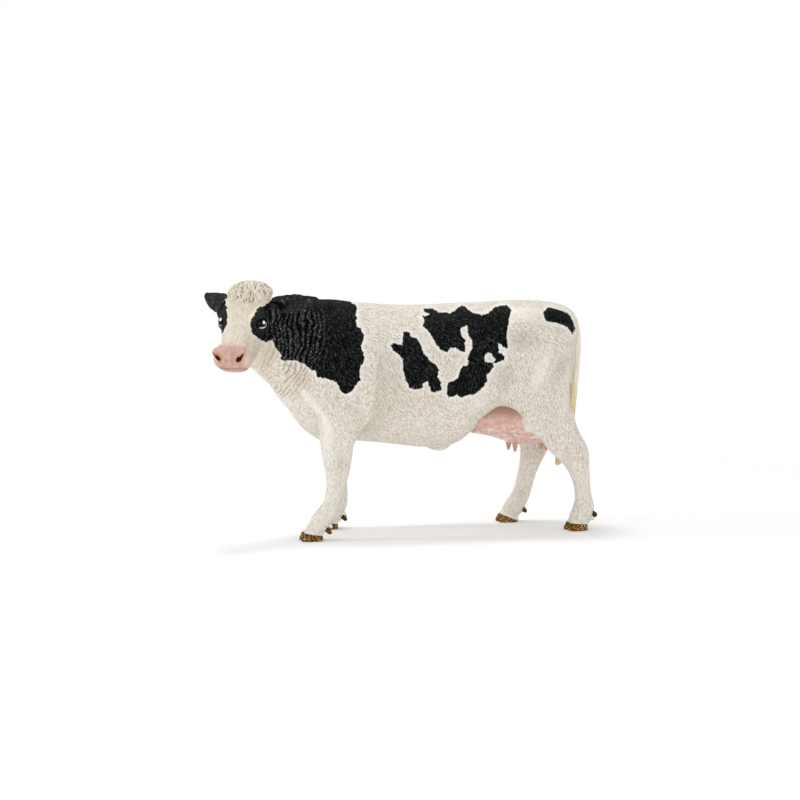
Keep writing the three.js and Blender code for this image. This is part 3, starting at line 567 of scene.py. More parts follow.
def inset_buttocks(field):
    """Draws the hindquarters in beside the tail, so that it stands out behind them."""
    x, y, z = field.axes()
    inset = fade(np.abs(x - MIDDLE), *BUTTOCK_ACROSS) * fade(y, *BUTTOCK_ALONG) * window(z, *BUTTOCK_UP)
    inset = inset * (1 + BUTTOCK_LOW_SHARE * fade(z, *BUTTOCK_LOW))
    field.d = field.d + np.float32(BUTTOCK_INSET) * inset.astype(np.float32)


# Head, in its own frame; the left eye and nostril are given, and the right ones' X is the opposite

EYE_AT = np.array((5.01, -11.07, -3.57))
EYE_RADIUS = 2.5
EYE_PLAY = 0.08
EYE_LOOK = np.array((0.80, -0.42, 0.42))
EYE_ALONG = np.array((0.42, 0.75, -0.5))  # from its front corner to its rear one

# Forms of an orbit in turn: place in the head's frame, or one number out along the look from the eye's
# middle, half sizes, soft edge, carved or not
ORBIT = [
    (-0.6, (3.9, 3.2, 2.5), 1.1, False),
    ((5.0, -8.4, -1.4), (1.6, 3.0, 1.5), 0.9, False),
    (0.0, (3.2, 2.9, 2.85), 0.35, False),
    (1.9, (2.3, 1.6, 1.6), 0.12, True),
    (0.0, (EYE_RADIUS + EYE_PLAY,) * 3, 0.04, True),
    ((7.4, -5.0, -5.2), (2.6, 3.6, 3.2), 1.2, False),
]


def mirror(side):
    return np.array([side, 1, 1])


def eye_frame(side):
    """Axes of an eye as columns: along, up and out, in the head's frame."""
    look = EYE_LOOK * mirror(side)
    look /= np.linalg.norm(look)
    along = EYE_ALONG * mirror(side)
    along -= look * (along @ look)
    along /= np.linalg.norm(along)
    up = np.cross(look, along) * side
    return np.stack([along, up, look], 1)


def add_orbits(field):
    for side in SIDES:
        axes = eye_frame(side)
        for place, radii, edge, carve in ORBIT:
            if np.ndim(place):
                centre, turn = np.array(place) * mirror(side), HEAD
            else:
                centre, turn = EYE_AT * mirror(side) + place * axes[:, 2], HEAD @ axes
            field.ellipsoid(on_head(centre), radii, turn, edge, carve)


# The muzzle is narrowed, and its nostrils and mouth are carved
MUZZLE_INSET, MUZZLE_ACROSS, MUZZLE_ALONG, MUZZLE_UP = 0.65, (2, 4), (-15, -20), (-5.5, -3)
MUZZLE_FORMS = [((3.2, -23.6, -3.3), (1.7, 2.5, 1.9)), ((2.9, -25.0, -5.0), (2.2, 1.9, 1.9))]
MUZZLE_EDGE = 1.0
NOSTRIL_AT = np.array((3.3, -26.1, -3.1))
NOSTRILS_SHIFT = (-0.35, 0, 0)
NOSTRIL_SLANT = 48
NOSTRIL_FORMS = [((0, 0, 0), (1.02, 1.7, 0.65)), ((0.8, 0.35, 0.7), (0.95, 1.4, 0.32))]
NOSTRIL_EDGE = 0.2
NOSTRIL_PAINT_SHARE = 1.14  # how far the dark paint reaches, of the nostril's half sizes
RIM_WIDTH, RIM_BACK, RIM_EDGE = 0.3, 0.8, 0.5
MOUTH_LEVEL, MOUTH_FRONT, MOUTH_CORNER = -6.5, -24, -20.5
MOUTH_SAG, MOUTH_SLOPE_SHARE = 0.018, 0.12
MOUTH_HALF_WIDTH, MOUTH_DEPTH, MOUTH_EDGE = 0.18, 0.7, 0.15


def nostril_forms(side):
    """Centres, half sizes and turns of the forms that hollow a nostril, in the head's frame."""
    place = NOSTRIL_AT * mirror(side) + NOSTRILS_SHIFT
    for offset, radii in NOSTRIL_FORMS:
        yield place + np.array(offset) * mirror(side), radii, turn_matrix("Y", -side * NOSTRIL_SLANT)


def narrow_muzzle(field):
    x, y, z = field.own_axes(POLL, HEAD)
    narrow = fade(np.abs(x), *MUZZLE_ACROSS) * fade(y, *MUZZLE_ALONG) * fade(z, *MUZZLE_UP)
    field.d = field.d + MUZZLE_INSET * narrow.astype(np.float32)


def add_nostrils(field, side):
    for place, radii in MUZZLE_FORMS:
        field.ellipsoid(on_head(np.array(place) * mirror(side)), radii, HEAD, MUZZLE_EDGE)
    for centre, radii, slant in nostril_forms(side):
        rim = tuple(r + RIM_WIDTH for r in radii)
        field.ellipsoid(on_head(centre + [0, RIM_BACK, 0]), rim, HEAD @ slant, RIM_EDGE)
    for centre, radii, slant in nostril_forms(side):
        field.ellipsoid(on_head(centre), radii, HEAD @ slant, NOSTRIL_EDGE, carve=True)


def carve_mouth(field):
    x, y, z = field.own_axes(POLL, HEAD)
    level = z - MOUTH_LEVEL + MOUTH_SAG * x ** 2 - MOUTH_SLOPE_SHARE * (y - MOUTH_FRONT)
    slit = np.maximum(np.abs(level) - MOUTH_HALF_WIDTH, -(field.d + MOUTH_DEPTH))
    slit = np.maximum(slit, y - MOUTH_CORNER).astype(np.float32)
    field.blend(slit, MOUTH_EDGE, carve=True)


def nostril_depth(own):
    """How far inside a nostril a point lies, in mm."""
    best = everywhere(OUTSIDE, own)
    for side in SIDES:
        for centre, radii, slant in nostril_forms(side):
            out = np.linalg.norm((own - centre) @ slant / radii, axis=1)
            best = np.maximum(best, (NOSTRIL_PAINT_SHARE - out) * min(radii))
    return best


# The pink skin of the muzzle: how far it reaches up the face, across above and below, and down
PINK_TOP, PINK_ACROSS, PINK_WIDER, PINK_WIDER_UP, PINK_BOTTOM = -22.3, 4.7, 1.1, (-3.5, -6.5), -11
PINK_SIDE_SHARE = 0.8
PINK_RAGGED = (0.3, 1.4, 71)


def muzzle_skin(own):
    """How far inside the bare pink skin of the muzzle a point lies, in mm."""
    x, y, z = own.T
    side = PINK_ACROSS + PINK_WIDER * fade(z, *PINK_WIDER_UP) - np.abs(x)
    edge = np.minimum(np.minimum(PINK_TOP - y, PINK_SIDE_SHARE * side), z - PINK_BOTTOM)
    return edge - ripple(own, PINK_RAGGED)


# The forelock: places, half sizes and soft edges of its mass, and its curls
FORELOCK = [((1.1, -1.7, -0.1), (6.5, 4.3, 2.8), 1.0), ((0.1, -4.2, -1.0), (5.9, 3.8, 1.9), 1.6)]
CURLS_AT, CURLS_RADII, CURLS_EDGE = (0.8, -1.6, 0.2), (7.6, 5.6, 5.0), (1.06, 0.86)
CURLS_SPREAD, CURLS_DROOP = 0.09, 0.25
CURL_WARP, CURL_WARP_SIZE, CURL_WARP_SEEDS = 0.4, 1.5, (61, 62, 63)
CURL_STROKES = (0.42, 1.8, 64)  # size, length and seed


def shape_head(field):
    add_orbits(field)
    narrow_muzzle(field)
    for side in SIDES:
        add_nostrils(field, side)
    carve_mouth(field)
    for place, radii, edge in FORELOCK:
        field.ellipsoid(on_head(place), radii, HEAD, edge)


def forelock_share(own):
    """1 in the tuft and 0 away from it."""
    p = (own - CURLS_AT) / CURLS_RADII
    return fade(np.linalg.norm(p, axis=1), *CURLS_EDGE)


def curls(points, own, normals):
    """Waving locks that hang from the poll."""
    lock = forelock_share(own)
    near = lock > 0
    at, own, normals = points[near], own[near], normals[near]
    x = own[:, 0]
    down = np.stack([CURLS_SPREAD * x, 0 * x - 1, 0 * x - CURLS_DROOP], 1) @ HEAD.T
    warp = np.stack([noise(at, CURL_WARP_SIZE, seed) for seed in CURL_WARP_SEEDS], -1)
    lock[near] *= strokes(at + CURL_WARP * warp, along_surface(down, normals), *CURL_STROKES)
    return lock


# Feet

FEET = {  # sole's toe and heel along Y, height of the hoof there, middle across X
    "front_left_leg": (-35.3, -27.9, 2.9, 1.6, 10.06),
    "front_right_leg": (-25.3, -17.9, 3.0, 1.6, -13.46),
    "rear_left_leg": (51.6, 59.0, 2.7, 2.0, 10.3),
    "rear_right_leg": (36.3, 43.7, 3.3, 0.4, -13.7),
}
DEWCLAWS = {  # place along Y and Z
    "front_left_leg": (-26.2, 2.9), "front_right_leg": (-15.9, 3.4),
    "rear_left_leg": (61.3, 5.2), "rear_right_leg": (45.9, 3.9),
}
DEWCLAW_APART = 2.9
DEWCLAW_RADII = (0.8, 1.15, 0.75)
DEWCLAW_TURN = turn_matrix("X", -50)
DEWCLAW_EDGE = 0.25
DEWCLAW_PAINT_SHARE = 1.3  # how far its paint reaches, of its half sizes
DEWCLAW_DARKNESS = 0.12  # the depth that its paint is held to, which is the hoof's dark edge
HOOF_REACH, HOOF_SHARES = 6, (-0.5, 1.3)  # across from its middle, and along of its length
HEEL_SHARE, HEEL_FALL = 1.02, 6

# How far the lower legs lean along Y: heights and leans
LEANS = {
    "front_left_leg": [(0, 0), (4, -0.2), (8.5, -0.5), (13, -0.2), (20, 0)],
    "front_right_leg": [(0, 1.0), (12, 1.0), (20, 0)],
    "rear_left_leg": [(0, 0), (10, -0.3), (24, -0.4), (32, 0)],
    "rear_right_leg": [(0, 0), (6, 0.2), (10, 0.65), (22, 0.65), (32, 0)],
}
FULL_PASTERN = "front_left_leg"
PASTERN_AT, PASTERN_RADII, PASTERN_TURN = (9.9, -28.5, 8.2), (2.2, 1.3, 3.8), turn_matrix("X", -38)
PASTERN_EDGE = 1.2


def dewclaws(leg):
    y, z = DEWCLAWS[leg]
    for side in SIDES:
        yield np.array([FEET[leg][4] + side * DEWCLAW_APART / 2, y, z])


def shape_leg(field, leg):
    """Leans a leg, fills out its pastern and adds its dewclaws."""
    heights, leans = np.array(LEANS[leg], float).T
    field.shift(np.interp(field.axes()[2], heights, leans), 1)
    if leg == FULL_PASTERN:
        field.ellipsoid(PASTERN_AT, PASTERN_RADII, PASTERN_TURN, PASTERN_EDGE)
    for centre in dewclaws(leg):
        field.ellipsoid(centre, DEWCLAW_RADII, DEWCLAW_TURN, DEWCLAW_EDGE)


def horn(points):
    """How far inside the hooves and dewclaws a point lies, in mm."""
    best = everywhere(OUTSIDE, points)
    for leg, (toe, heel, high, low, middle) in FEET.items():
        along = (points[:, 1] - toe) / (heel - toe)
        top = high + (low - high) * np.clip(along, 0, 1) - HEEL_FALL * np.maximum(along - HEEL_SHARE, 0)
        near = (along > HOOF_SHARES[0]) & (along < HOOF_SHARES[1])
        near &= np.abs(points[:, 0] - middle) < HOOF_REACH
        best = np.where(near, np.maximum(best, top - points[:, 2]), best)
        for centre in dewclaws(leg):
            out = np.linalg.norm((points - centre) @ DEWCLAW_TURN / DEWCLAW_RADII, axis=1)
            depth = (DEWCLAW_PAINT_SHARE - out) * min(DEWCLAW_RADII)
            best = np.maximum(best, np.minimum(depth, DEWCLAW_DARKNESS))
    return best


# Meshes

CAP_CORNERS = 8  # a face with more corners than this closes a parting


def put(mesh, key, value):
    """Keeps a number or a direction on each point of a mesh."""
    kind, entry = ("FLOAT_VECTOR", "vector") if value.ndim == 2 else ("FLOAT", "value")
    layer = mesh.attributes.new(key, kind, "POINT")
    layer.data.foreach_set(entry, value.astype(np.float32).ravel())


def make_object(name, node, surface, values, cuts=()):
    """A closed piece in metres in place of a node, cut at its partings. values are its points' numbers."""
    mesh = bpy.data.meshes.new(name)
    mesh.from_pydata((surface.points * MM).tolist(), [], surface.quads.tolist())
    mesh.validate()
    for key, value in values.items():
        put(mesh, key, value)
    put(mesh, "lay", surface.normals())
    if cuts:
        part_mesh(mesh, cuts)
    soften(mesh)
    obj = place_object(name, mesh)
    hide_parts(node)
    return obj


def add_object(name, data):
    obj = bpy.data.objects.new(name, data)
    bpy.context.scene.collection.objects.link(obj)
    return obj


def place_object(name, mesh):
    obj = add_object(name, mesh)
    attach(obj, "root")
    return obj


def part_mesh(mesh, cuts):
    """Cuts a mesh by planes; each has a point, a normal towards what is dropped and a test of which faces
    it may cut."""
    bm = bmesh.new()
    bm.from_mesh(mesh)
    for point, normal, near in cuts:
        point, normal = Vector(point) * MM, Vector(normal)
        faces = [f for f in bm.faces if near(f.calc_center_median() / MM)]
        edges = {e for f in faces for e in f.edges}
        verts = {v for f in faces for v in f.verts}
        bmesh.ops.bisect_plane(bm, geom=list(verts) + list(edges) + faces, plane_co=point, plane_no=normal)
        gone = [f for f in bm.faces
                if near(f.calc_center_median() / MM) and (f.calc_center_median() - point).dot(normal) > 0]
        bmesh.ops.delete(bm, geom=gone, context="FACES")
    loose = [v for v in bm.verts if not v.link_faces]
    bmesh.ops.delete(bm, geom=loose, context="VERTS")
    rim = [e for e in bm.edges if e.is_boundary]
    bmesh.ops.holes_fill(bm, edges=rim, sides=0)
    for f in bm.faces:
        if len(f.verts) > CAP_CORNERS:
            f.material_index = 1
    bm.to_mesh(mesh)
    bm.free()


def soften(mesh):
    """Shades the whole skin smoothly across its partings, and the partings flat."""
    mesh.shade_smooth()
    lay = read(mesh.attributes["lay"].data, "vector", 3)
    loops = lay[read(mesh.loops, "vertex_index", 1, np.int32)[:, 0]]
    for f in mesh.polygons:
        if len(f.vertices) > CAP_CORNERS:
            loops[f.loop_start:f.loop_start + f.loop_total] = f.normal
    mesh.normals_split_custom_set(loops.tolist())
    mesh.attributes.remove(mesh.attributes["lay"])


# Skin over the trunk, the head and the legs

SKIN_NODES = ["body", "head", "front_left_leg", "front_right_leg", "rear_left_leg", "rear_right_leg"]
SMALL_BLUR, MEDIUM_BLUR, LARGE_BLUR = 0.3, 0.75, 1.5
SKULL_AT, SKULL_ROUND = (0, -13, -6), (21, 15)  # in the head's frame
TUFT_AT, TUFT_ROUND = (0, -1, 0), (9, 6)
HEAD_SHARP_SHARE = 0.6
LIMB_LEVELS, HOOF_LEVELS = (33, 25), (6.5, 5)

# The skin's relief, and where it is: the trunk's waves, folds, hair and curls
TRUNK_WAVES, TRUNK_WAVES_UP = (0.12, 9, 31), (8, 16)
FOLD_HEIGHT, HAIR_HEIGHT, CURL_HEIGHT = 0.55, 0.04, 0.3
HAIR_STROKES = (0.56, 1.2, 41)  # size, length and seed
BARE_PINK, BARE_HOOF = (-0.6, 0.1), (3, 5)
FACE_HAIR_LESS_SHARE = 0.4

# The yellow stain of the buttocks beside the tail
STAIN_ALONG, STAIN_UP, STAIN_ACROSS = (54.5, 56.5), (38, 42, 58, 66), (8, 4)


def round_place(axes, centre, reach):
    """1 near a place on a grid and 0 away from it."""
    distance = np.sqrt(sum((v - c) ** 2 for v, c in zip(axes, centre)))
    return fade(distance, *reach).astype(np.float32)


def smooth_skin(field):
    """Softens the solids' flats and joints: most on the trunk, least at the hooves and on the face."""
    z = field.axes()[2]
    own = field.own_axes(POLL, HEAD)
    head = round_place(own, SKULL_AT, SKULL_ROUND)
    tuft = round_place(own, TUFT_AT, TUFT_ROUND)
    limb = fade(z, *LIMB_LEVELS).astype(np.float32)
    hoof = fade(z, *HOOF_LEVELS).astype(np.float32)
    small, medium, large = (field.blurred(size) for size in (SMALL_BLUR, MEDIUM_BLUR, LARGE_BLUR))
    field.d = large + (medium - large) * np.maximum(head, limb)
    field.d += (small - field.d) * np.maximum(hoof, head * HEAD_SHARP_SHARE * (1 - tuft))
    lift_flank(field)


def stain(points):
    x, y, z = points.T
    return fade(y, *STAIN_ALONG) * window(z, *STAIN_UP) * fade(np.abs(x - MIDDLE), *STAIN_ACROSS)


def skin_values(surface, field):
    """What the skin's relief and paint need to know of each point."""
    points, normals = surface.points, surface.normals()
    own = to_head(points)
    face = head_share(own)
    return {
        "patch": black_patches(points),
        "hair": hair_direction(points, normals),
        # hollow, folds and line also set painted shade in hollows, grooves and creases and painted highlight
        # on ridges and raised forms
        "hollow": hollows(surface, field),
        "folds": neck_folds(points),
        "curl": curls(points, own, normals),
        "line": side_forms(points, normals) * (1 - face),
        "pink": muzzle_skin(own) * face + OUTSIDE * (1 - face),
        "horn": horn(points),
        "tuft": forelock_share(own),
        "face": face,
        "nostril": nostril_depth(own),
        "yellow": stain(points),
    }


def skin_relief(points, values):
    """How far each point of the skin stands out."""
    z, face = points[:, 2], values["face"]
    relief = ripple(points, TRUNK_WAVES) * fade(z, *TRUNK_WAVES_UP) * (1 - face)
    relief += values["line"] - FOLD_HEIGHT * values["folds"]
    combed = strokes(points, values["hair"], *HAIR_STROKES)
    bare = np.maximum(fade(values["pink"], *BARE_PINK), 1 - fade(z, *BARE_HOOF))
    relief += HAIR_HEIGHT * combed * (1 - bare) * (1 - FACE_HAIR_LESS_SHARE * face)
    return relief + CURL_HEIGHT * values["curl"]


def skin_piece(node, low, high, voxel, cuts, shape):
    field = Field(SKIN_NODES, low, high, voxel)
    smooth_skin(field)
    shape(field)
    surface = field.surface()
    values = skin_values(surface, field)
    surface.raise_by(skin_relief(surface.points, values))
    return make_object(node + "_skin", node, surface, values, cuts)


SPARE = 2  # of a grid, round the skin
BODY_BOX = ((LOW[0] - SPARE, NECK_CUT - SPARE, 24), (HIGH[0] + SPARE, HIGH[1] + SPARE, 77))
BODY_CUTS = [
    ((0, NECK_CUT, 0), (0, -1, 0), lambda c: c.z > FORE_CUT + CUT_REACH),
    ((0, 0, FORE_CUT), (0, 0, -1), lambda c: c.y < FORE_LEGS_END and c.z < FORE_CUT + CUT_REACH),
    ((0, 0, HIND_CUT), (0, 0, -1), lambda c: c.y > HIND_LEGS_START and c.z < HIND_CUT + CUT_REACH),
]
HEAD_BOX = ((-13, -66, 35), (24, NECK_CUT + SPARE, 84))
HEAD_CUTS = [((0, NECK_CUT, 0), (0, 1, 0), lambda c: True)]
LEG_BOXES = {
    "front_left_leg": ((4, -38, -1), (17, -14, 31)),
    "front_right_leg": ((-20, -30, -1), (-5, -9, 31)),
    "rear_left_leg": ((0.5, 30, -1), (20, 66, 45)),
    "rear_right_leg": ((-22, 30, -1), (-1.5, 60, 45)),
}


def make_leg(leg):
    top = FORE_CUT if leg.startswith("front") else HIND_CUT
    cuts = [((0, 0, top), (0, 0, 1), lambda c: True)]
    return skin_piece(leg, *LEG_BOXES[leg], MEDIUM, cuts, lambda field: shape_leg(field, leg))


body = skin_piece("body", *BODY_BOX, COARSE, BODY_CUTS, inset_buttocks)
head = skin_piece("head", *HEAD_BOX, FINE, HEAD_CUTS, shape_head)
legs = [make_leg(leg) for leg in LEG_BOXES]


# Ears

# In an ear's frame of long, broad and thin axes: where its lower and upper edges lie at the middle and how
# they rise to the tip, spare flesh at the root and the tip, how far it is moved along and up, its cavity
EARS = {
    "ear_left": ((-3.5, 0.32), (9.4, -0.9), (0.18, 0.18), (0.1, 0.6), (-1.2, -1.3, 1.7)),
    "ear_right": ((-3.8, 0.26), (9.8, -0.9), (0.18, 0.3), (0.15, -0.15), (-1.2, -1.3, -1.9)),
}
EAR_SPARE, EAR_BLUR, EAR_EDGE = 1.5, 0.25, 0.6
EAR_TIP_ALONG = (0, 5)
CAVITY_RADII, CAVITY_EDGE, CAVITY_INSIDE = (6.3, 1.9, 1.5), 0.5, (1.25, 0.95)
EAR_STROKES, EAR_STROKE_HEIGHT = (0.7, 2.4, 51), 0.11
EAR_WAVES, EAR_LIGHT_AND_SHADE_MOTTLE = (0.3, 2.0, 52), (0.3, 1.3, 53)
CAVITY_SHADE, CAVITY_FOLD_SHADE, EAR_HIGHLIGHT = 0.2, 0.5, 0.1  # how far these darken the cavity as painted shade and lighten the lumps as painted highlight


def node_box(name, spare):
    low, high = (np.array(v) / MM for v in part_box(name))
    return low - spare, high + spare


def node_frame(name):
    """A node's middle and its long, broad and thin axes, the first away from the head and the second up."""
    points = np.unique(solids([name])[0].astype(np.float64), axis=0)
    middle = points.mean(axis=0)
    axes = np.linalg.svd(points - middle)[2]
    if axes[0] @ (middle - POLL) < 0:
        axes[0] *= -1
    if axes[1, 2] < 0:
        axes[1] *= -1
    axes[2] = np.cross(axes[0], axes[1])
    return middle, axes.T


def make_ear(name):
    *edges, (root, tip), moved, cavity = EARS[name]
    field = Field([name], *node_box(name, EAR_SPARE), FINE)
    middle, axes = node_frame(name)
    cavity = middle + axes @ np.array(cavity)
    along, up, _ = field.own_axes(middle, axes)
    field.d = field.blurred(EAR_BLUR)
    field.swell(root + (tip - root) * fade(along, *EAR_TIP_ALONG))
    for side, (level, rise) in zip(SIDES, edges):
        beyond = side * (up - level - rise * along)
        field.blend(beyond.astype(np.float32), EAR_EDGE, carve=True)
    field.ellipsoid(cavity, CAVITY_RADII, axes, CAVITY_EDGE, carve=True)
    surface = field.surface()
    points = surface.points
    along = everywhere(axes[:, 0], points)
    relief = EAR_STROKE_HEIGHT * strokes(points, along, *EAR_STROKES) + ripple(points, EAR_WAVES)
    inside = fade(np.linalg.norm((points - cavity) @ axes / CAVITY_RADII, axis=1), *CAVITY_INSIDE)
    values = {
        "patch": everywhere(5.0, points),
        "hair": along,
        # The cavity is darkened as painted shade and the lumps are lightened as painted highlight
        "hollow": hollows(surface, field) + CAVITY_SHADE * inside,
        "folds": CAVITY_FOLD_SHADE * inside - EAR_HIGHLIGHT + ripple(points, EAR_LIGHT_AND_SHADE_MOTTLE),
    }
    values.update((key, everywhere(OUTSIDE, points)) for key in ("pink", "horn", "nostril"))
    values.update((key, everywhere(0.0, points)) for key in ("tuft", "face", "curl", "yellow", "line"))
    surface.points = points + axes[:, 0] * moved[0] + axes[:, 1] * moved[1]
    surface.raise_by(relief)
    return make_object(name + "_skin", name, surface, values)


# Udder

UDDER_SPARE, UDDER_BLUR = 2.5, 0.4
UDDER_STRETCH, UDDER_STRETCH_ALONG = 3.0, (37, 45)  # how far and where the hind teats are moved back
NEAR_TEAT_LESS, NEAR_TEAT_ACROSS = 0.8, (-3, 1)  # the near hind teat is moved less
FLESH, FLESH_UP = 0.35, (29.5, 31)
FRONT_FLESH, FRONT_ALONG, FRONT_UP = 0.8, (34, 28), (30, 34)
SWELL_ASIDE, SWELL_ALONG, SWELL_UP, SWELL_RADII, SWELL_EDGE = 8.6, 26.8, 36.2, (4.7, 6.3, 3.0), 1.5
VEIN_WARPS = ((3.5, 82), (2.6, 83))  # sizes and seeds, along and up
VEIN_STRETCH, VEIN_SIZE, VEIN_SEED, VEIN_SHARPNESS = (1, 0.34, 1), 1.15, 84, 4.5
VEINS_UP, VEIN_HEIGHT = (26.5, 28, 32.5, 36.0), 0.28
UDDER_GRAIN = (0.07, 0.8, 85)
TEAT_UP = (28.6, 27.2)


def shape_udder(field):
    x, y, z = field.axes()
    flesh = FLESH + FRONT_FLESH * fade(y, *FRONT_ALONG) * fade(z, *FRONT_UP) + 0 * x
    field.d = field.blurred(UDDER_BLUR)
    field.swell(flesh.astype(np.float32) * fade(z, *FLESH_UP).astype(np.float32))
    for side in SIDES:
        swelling = (MIDDLE + side * SWELL_ASIDE, SWELL_ALONG, SWELL_UP)
        field.ellipsoid(swelling, SWELL_RADII, np.eye(3), SWELL_EDGE)


def veins(points):
    """1 along the udder's branching veins and 0 between them."""
    warp = [noise(points, size, seed) for size, seed in VEIN_WARPS]
    bent = (points + np.stack([0 * points[:, 0], *warp], -1)) * VEIN_STRETCH
    vein = np.clip(1 - VEIN_SHARPNESS * np.abs(noise(bent, VEIN_SIZE, VEIN_SEED)), 0, 1)
    return vein * window(points[:, 2], *VEINS_UP)


def make_udder():
    low, high = node_box("udder", UDDER_SPARE)
    field = Field(["udder"], low, high + [0, UDDER_STRETCH, 0], MEDIUM)
    shape_udder(field)
    surface = field.surface()
    points = surface.points
    hollow = hollows(surface, field)
    stretch = UDDER_STRETCH - NEAR_TEAT_LESS * fade(points[:, 0], *NEAR_TEAT_ACROSS)
    points[:, 1] += stretch * fade(points[:, 1], *UDDER_STRETCH_ALONG)
    z = points[:, 2]
    values = {"vein": veins(points), "teat": fade(z, *TEAT_UP), "level": z, "hollow": hollow}
    surface.raise_by(VEIN_HEIGHT * values["vein"] + ripple(points, UDDER_GRAIN))
    return make_object("udder_skin", "udder", surface, values)


# Tail

TAIL_SPARE, TAIL_BLUR, TAIL_FLESH, TAIL_FORWARD = 1.5, 0.3, 0.35, 0.35
TAIL_WAY = (0, 0.1, -0.995)
TAIL_STROKES, TAIL_STROKE_HEIGHT = (0.6, 3.2, 91), 0.16


def make_tail():
    field = Field(["tail"], *node_box("tail", TAIL_SPARE), FINE)
    field.d = field.blurred(TAIL_BLUR)
    field.swell(TAIL_FLESH)
    surface = field.surface()
    surface.points[:, 1] -= TAIL_FORWARD
    points = surface.points
    down = everywhere(np.array(TAIL_WAY), points)
    surface.raise_by(TAIL_STROKE_HEIGHT * strokes(points, down, *TAIL_STROKES))
    return make_object("tail_hair", "tail", surface, {"hair": down, "level": points[:, 2]})


# Eyeballs

EYE_STEPS = 5  # subdivisions of the ball
# Shares of the ball's radius, along and up it
BULGE_SHARE, BULGE_OUT_SHARES = 0.04, (0.8, 1.0)
IRIS_SHARES, IRIS_RIM_SHARES = (0.86, 0.64), (0.62, 0.74)
WHITE_SIDE_SHARES, WHITE_FROM_SHARES, WHITE_OUT_SHARES = (0.42, -0.9), (0.12, 0.4), (-0.2, 0.1)
# The glint is a highlight painted on each eye
GLINT_SHARES = {1: (0.12, 0.12), -1: (-0.27, 0.27)}
GLINT_RIM_SHARES = (0.22, 0.16)


def eye_white_and_glint(ball, side):
    """1 on the white of the eye and on its glint, a highlight painted on the ball, for points of a ball of
    radius 1.
    """
    x, y, z = ball.T
    rim = np.hypot(x / IRIS_SHARES[0], y / IRIS_SHARES[1])
    low = fade(WHITE_SIDE_SHARES[0] * x + WHITE_SIDE_SHARES[1] * y, *WHITE_FROM_SHARES)
    white = fade(rim, *IRIS_RIM_SHARES) * low * fade(z, *WHITE_OUT_SHARES)
    glint = fade(np.hypot(x - GLINT_SHARES[side][0], y - GLINT_SHARES[side][1]), *GLINT_RIM_SHARES)
    return np.maximum(white, glint * (z > 0))


def make_eye(side):
    bm = bmesh.new()
    bmesh.ops.create_icosphere(bm, subdivisions=EYE_STEPS, radius=EYE_RADIUS)
    mesh = bpy.data.meshes.new("eye")
    bm.to_mesh(mesh)
    bm.free()
    co = read(mesh.vertices, "co", 3).astype(np.float64)
    bulge = BULGE_SHARE * fade(co[:, 2] / EYE_RADIUS, *BULGE_OUT_SHARES)
    p = co * (1 + bulge)[:, None]
    placed = on_head(EYE_AT * mirror(side)) + (HEAD @ eye_frame(side) @ p.T).T
    mesh.vertices.foreach_set("co", (placed * MM).astype(np.float32).ravel())
    # white holds the eye's white and its painted glint
    put(mesh, "white", eye_white_and_glint(co / EYE_RADIUS, side))
    mesh.shade_smooth()
    if side < 0:
        mesh.flip_normals()
    return place_object("eye_left" if side > 0 else "eye_right", mesh)


ears = [make_ear(name) for name in EARS]
udder = make_udder()
tail = make_tail()
eyes = [make_eye(side) for side in SIDES]


# Materials

HAIR_SAMPLES = 5

# A paint is its red, green and blue out of 255. Tones are where a value's first paint begins to give way to
# its second and where it has, and both paints. Layers are laid on in turn: the value that each follows, where
# it starts and is full, its share and its paint. A wash is a share and a paint. Noise is its size, detail and
# roughness.

COAT_STROKES = (0.22, 0.6)  # size and length
COAT_GRAIN, COAT_PITS, PIT_SHARE, COAT_BUMP = (0.42, 1.0), (0.22, 1.0), 0.3, 0.22
EDGE_NOISE, EDGE_RAGGED = (0.9, 3.0, 0.6), 1.5  # of the black patches
PATCH_EDGE, PINK_EDGE, HORN_EDGE = (-0.12, 0.12), (-1.0, 0.4), (-0.06, 0.06)

WHITE_TONES = (0.62, 0.34, (247, 242, 233), (191, 179, 160))
# Brown in the hollows and folds is painted shade and whiter on ridges is painted highlight; whiter round the
# black patches is the coat's own paint
WHITE_LAYERS = [
    ("hollow", 0.0, 0.16, 0.6, (176, 157, 132)),
    ("hollow", -0.02, -0.12, 0.45, (248, 244, 236)),
    ("folds", 0.0, 0.4, 0.65, (166, 146, 122)),
    ("ragged patch", -1.5, -0.3, 0.6, (247, 244, 238)),
]
FACE_WASH, STAIN_WASH = (0.5, (216, 203, 179)), (0.5, (228, 212, 156))
TUFT_SHARE, TUFT_TONES = 0.85, (0.3, -0.55, (238, 229, 214), (148, 123, 98))
# Lighter on the raised forms of the sides and darker in their creases: painted highlight and painted shade
FORM_HIGHLIGHT_AND_SHADE_LAYERS = [
    ("line", 0.05, 0.5, 0.5, (250, 246, 240)),
    ("line", -0.05, -0.5, 0.3, (172, 160, 144)),
]

# The grey strokes on the black coat are painted sheen; it is greyer on ridges as painted highlight and
# blackest in hollows as painted shade
BLACK_TONES = (0.54, 0.73, (2, 3, 3), (80, 84, 84))
BLACK_HIGHLIGHT_AND_SHADE_LAYERS = [
    ("hollow", -0.03, -0.12, 0.3, (62, 64, 63)),
    ("hollow", 0.0, 0.1, 0.8, (3, 3, 3)),
]
# Grey on the ridges of the neck's folds is painted highlight, and black in their grooves is painted shade
RIDGE_FOLDS, RIDGE_GRAIN, RIDGE_HIGHLIGHT = (-0.05, -0.3), (0.5, 0.6), (0.85, (112, 114, 112))
GROOVE_SHADE_LAYERS = [("folds", 0.0, 0.25, 0.9, (2, 2, 2))]

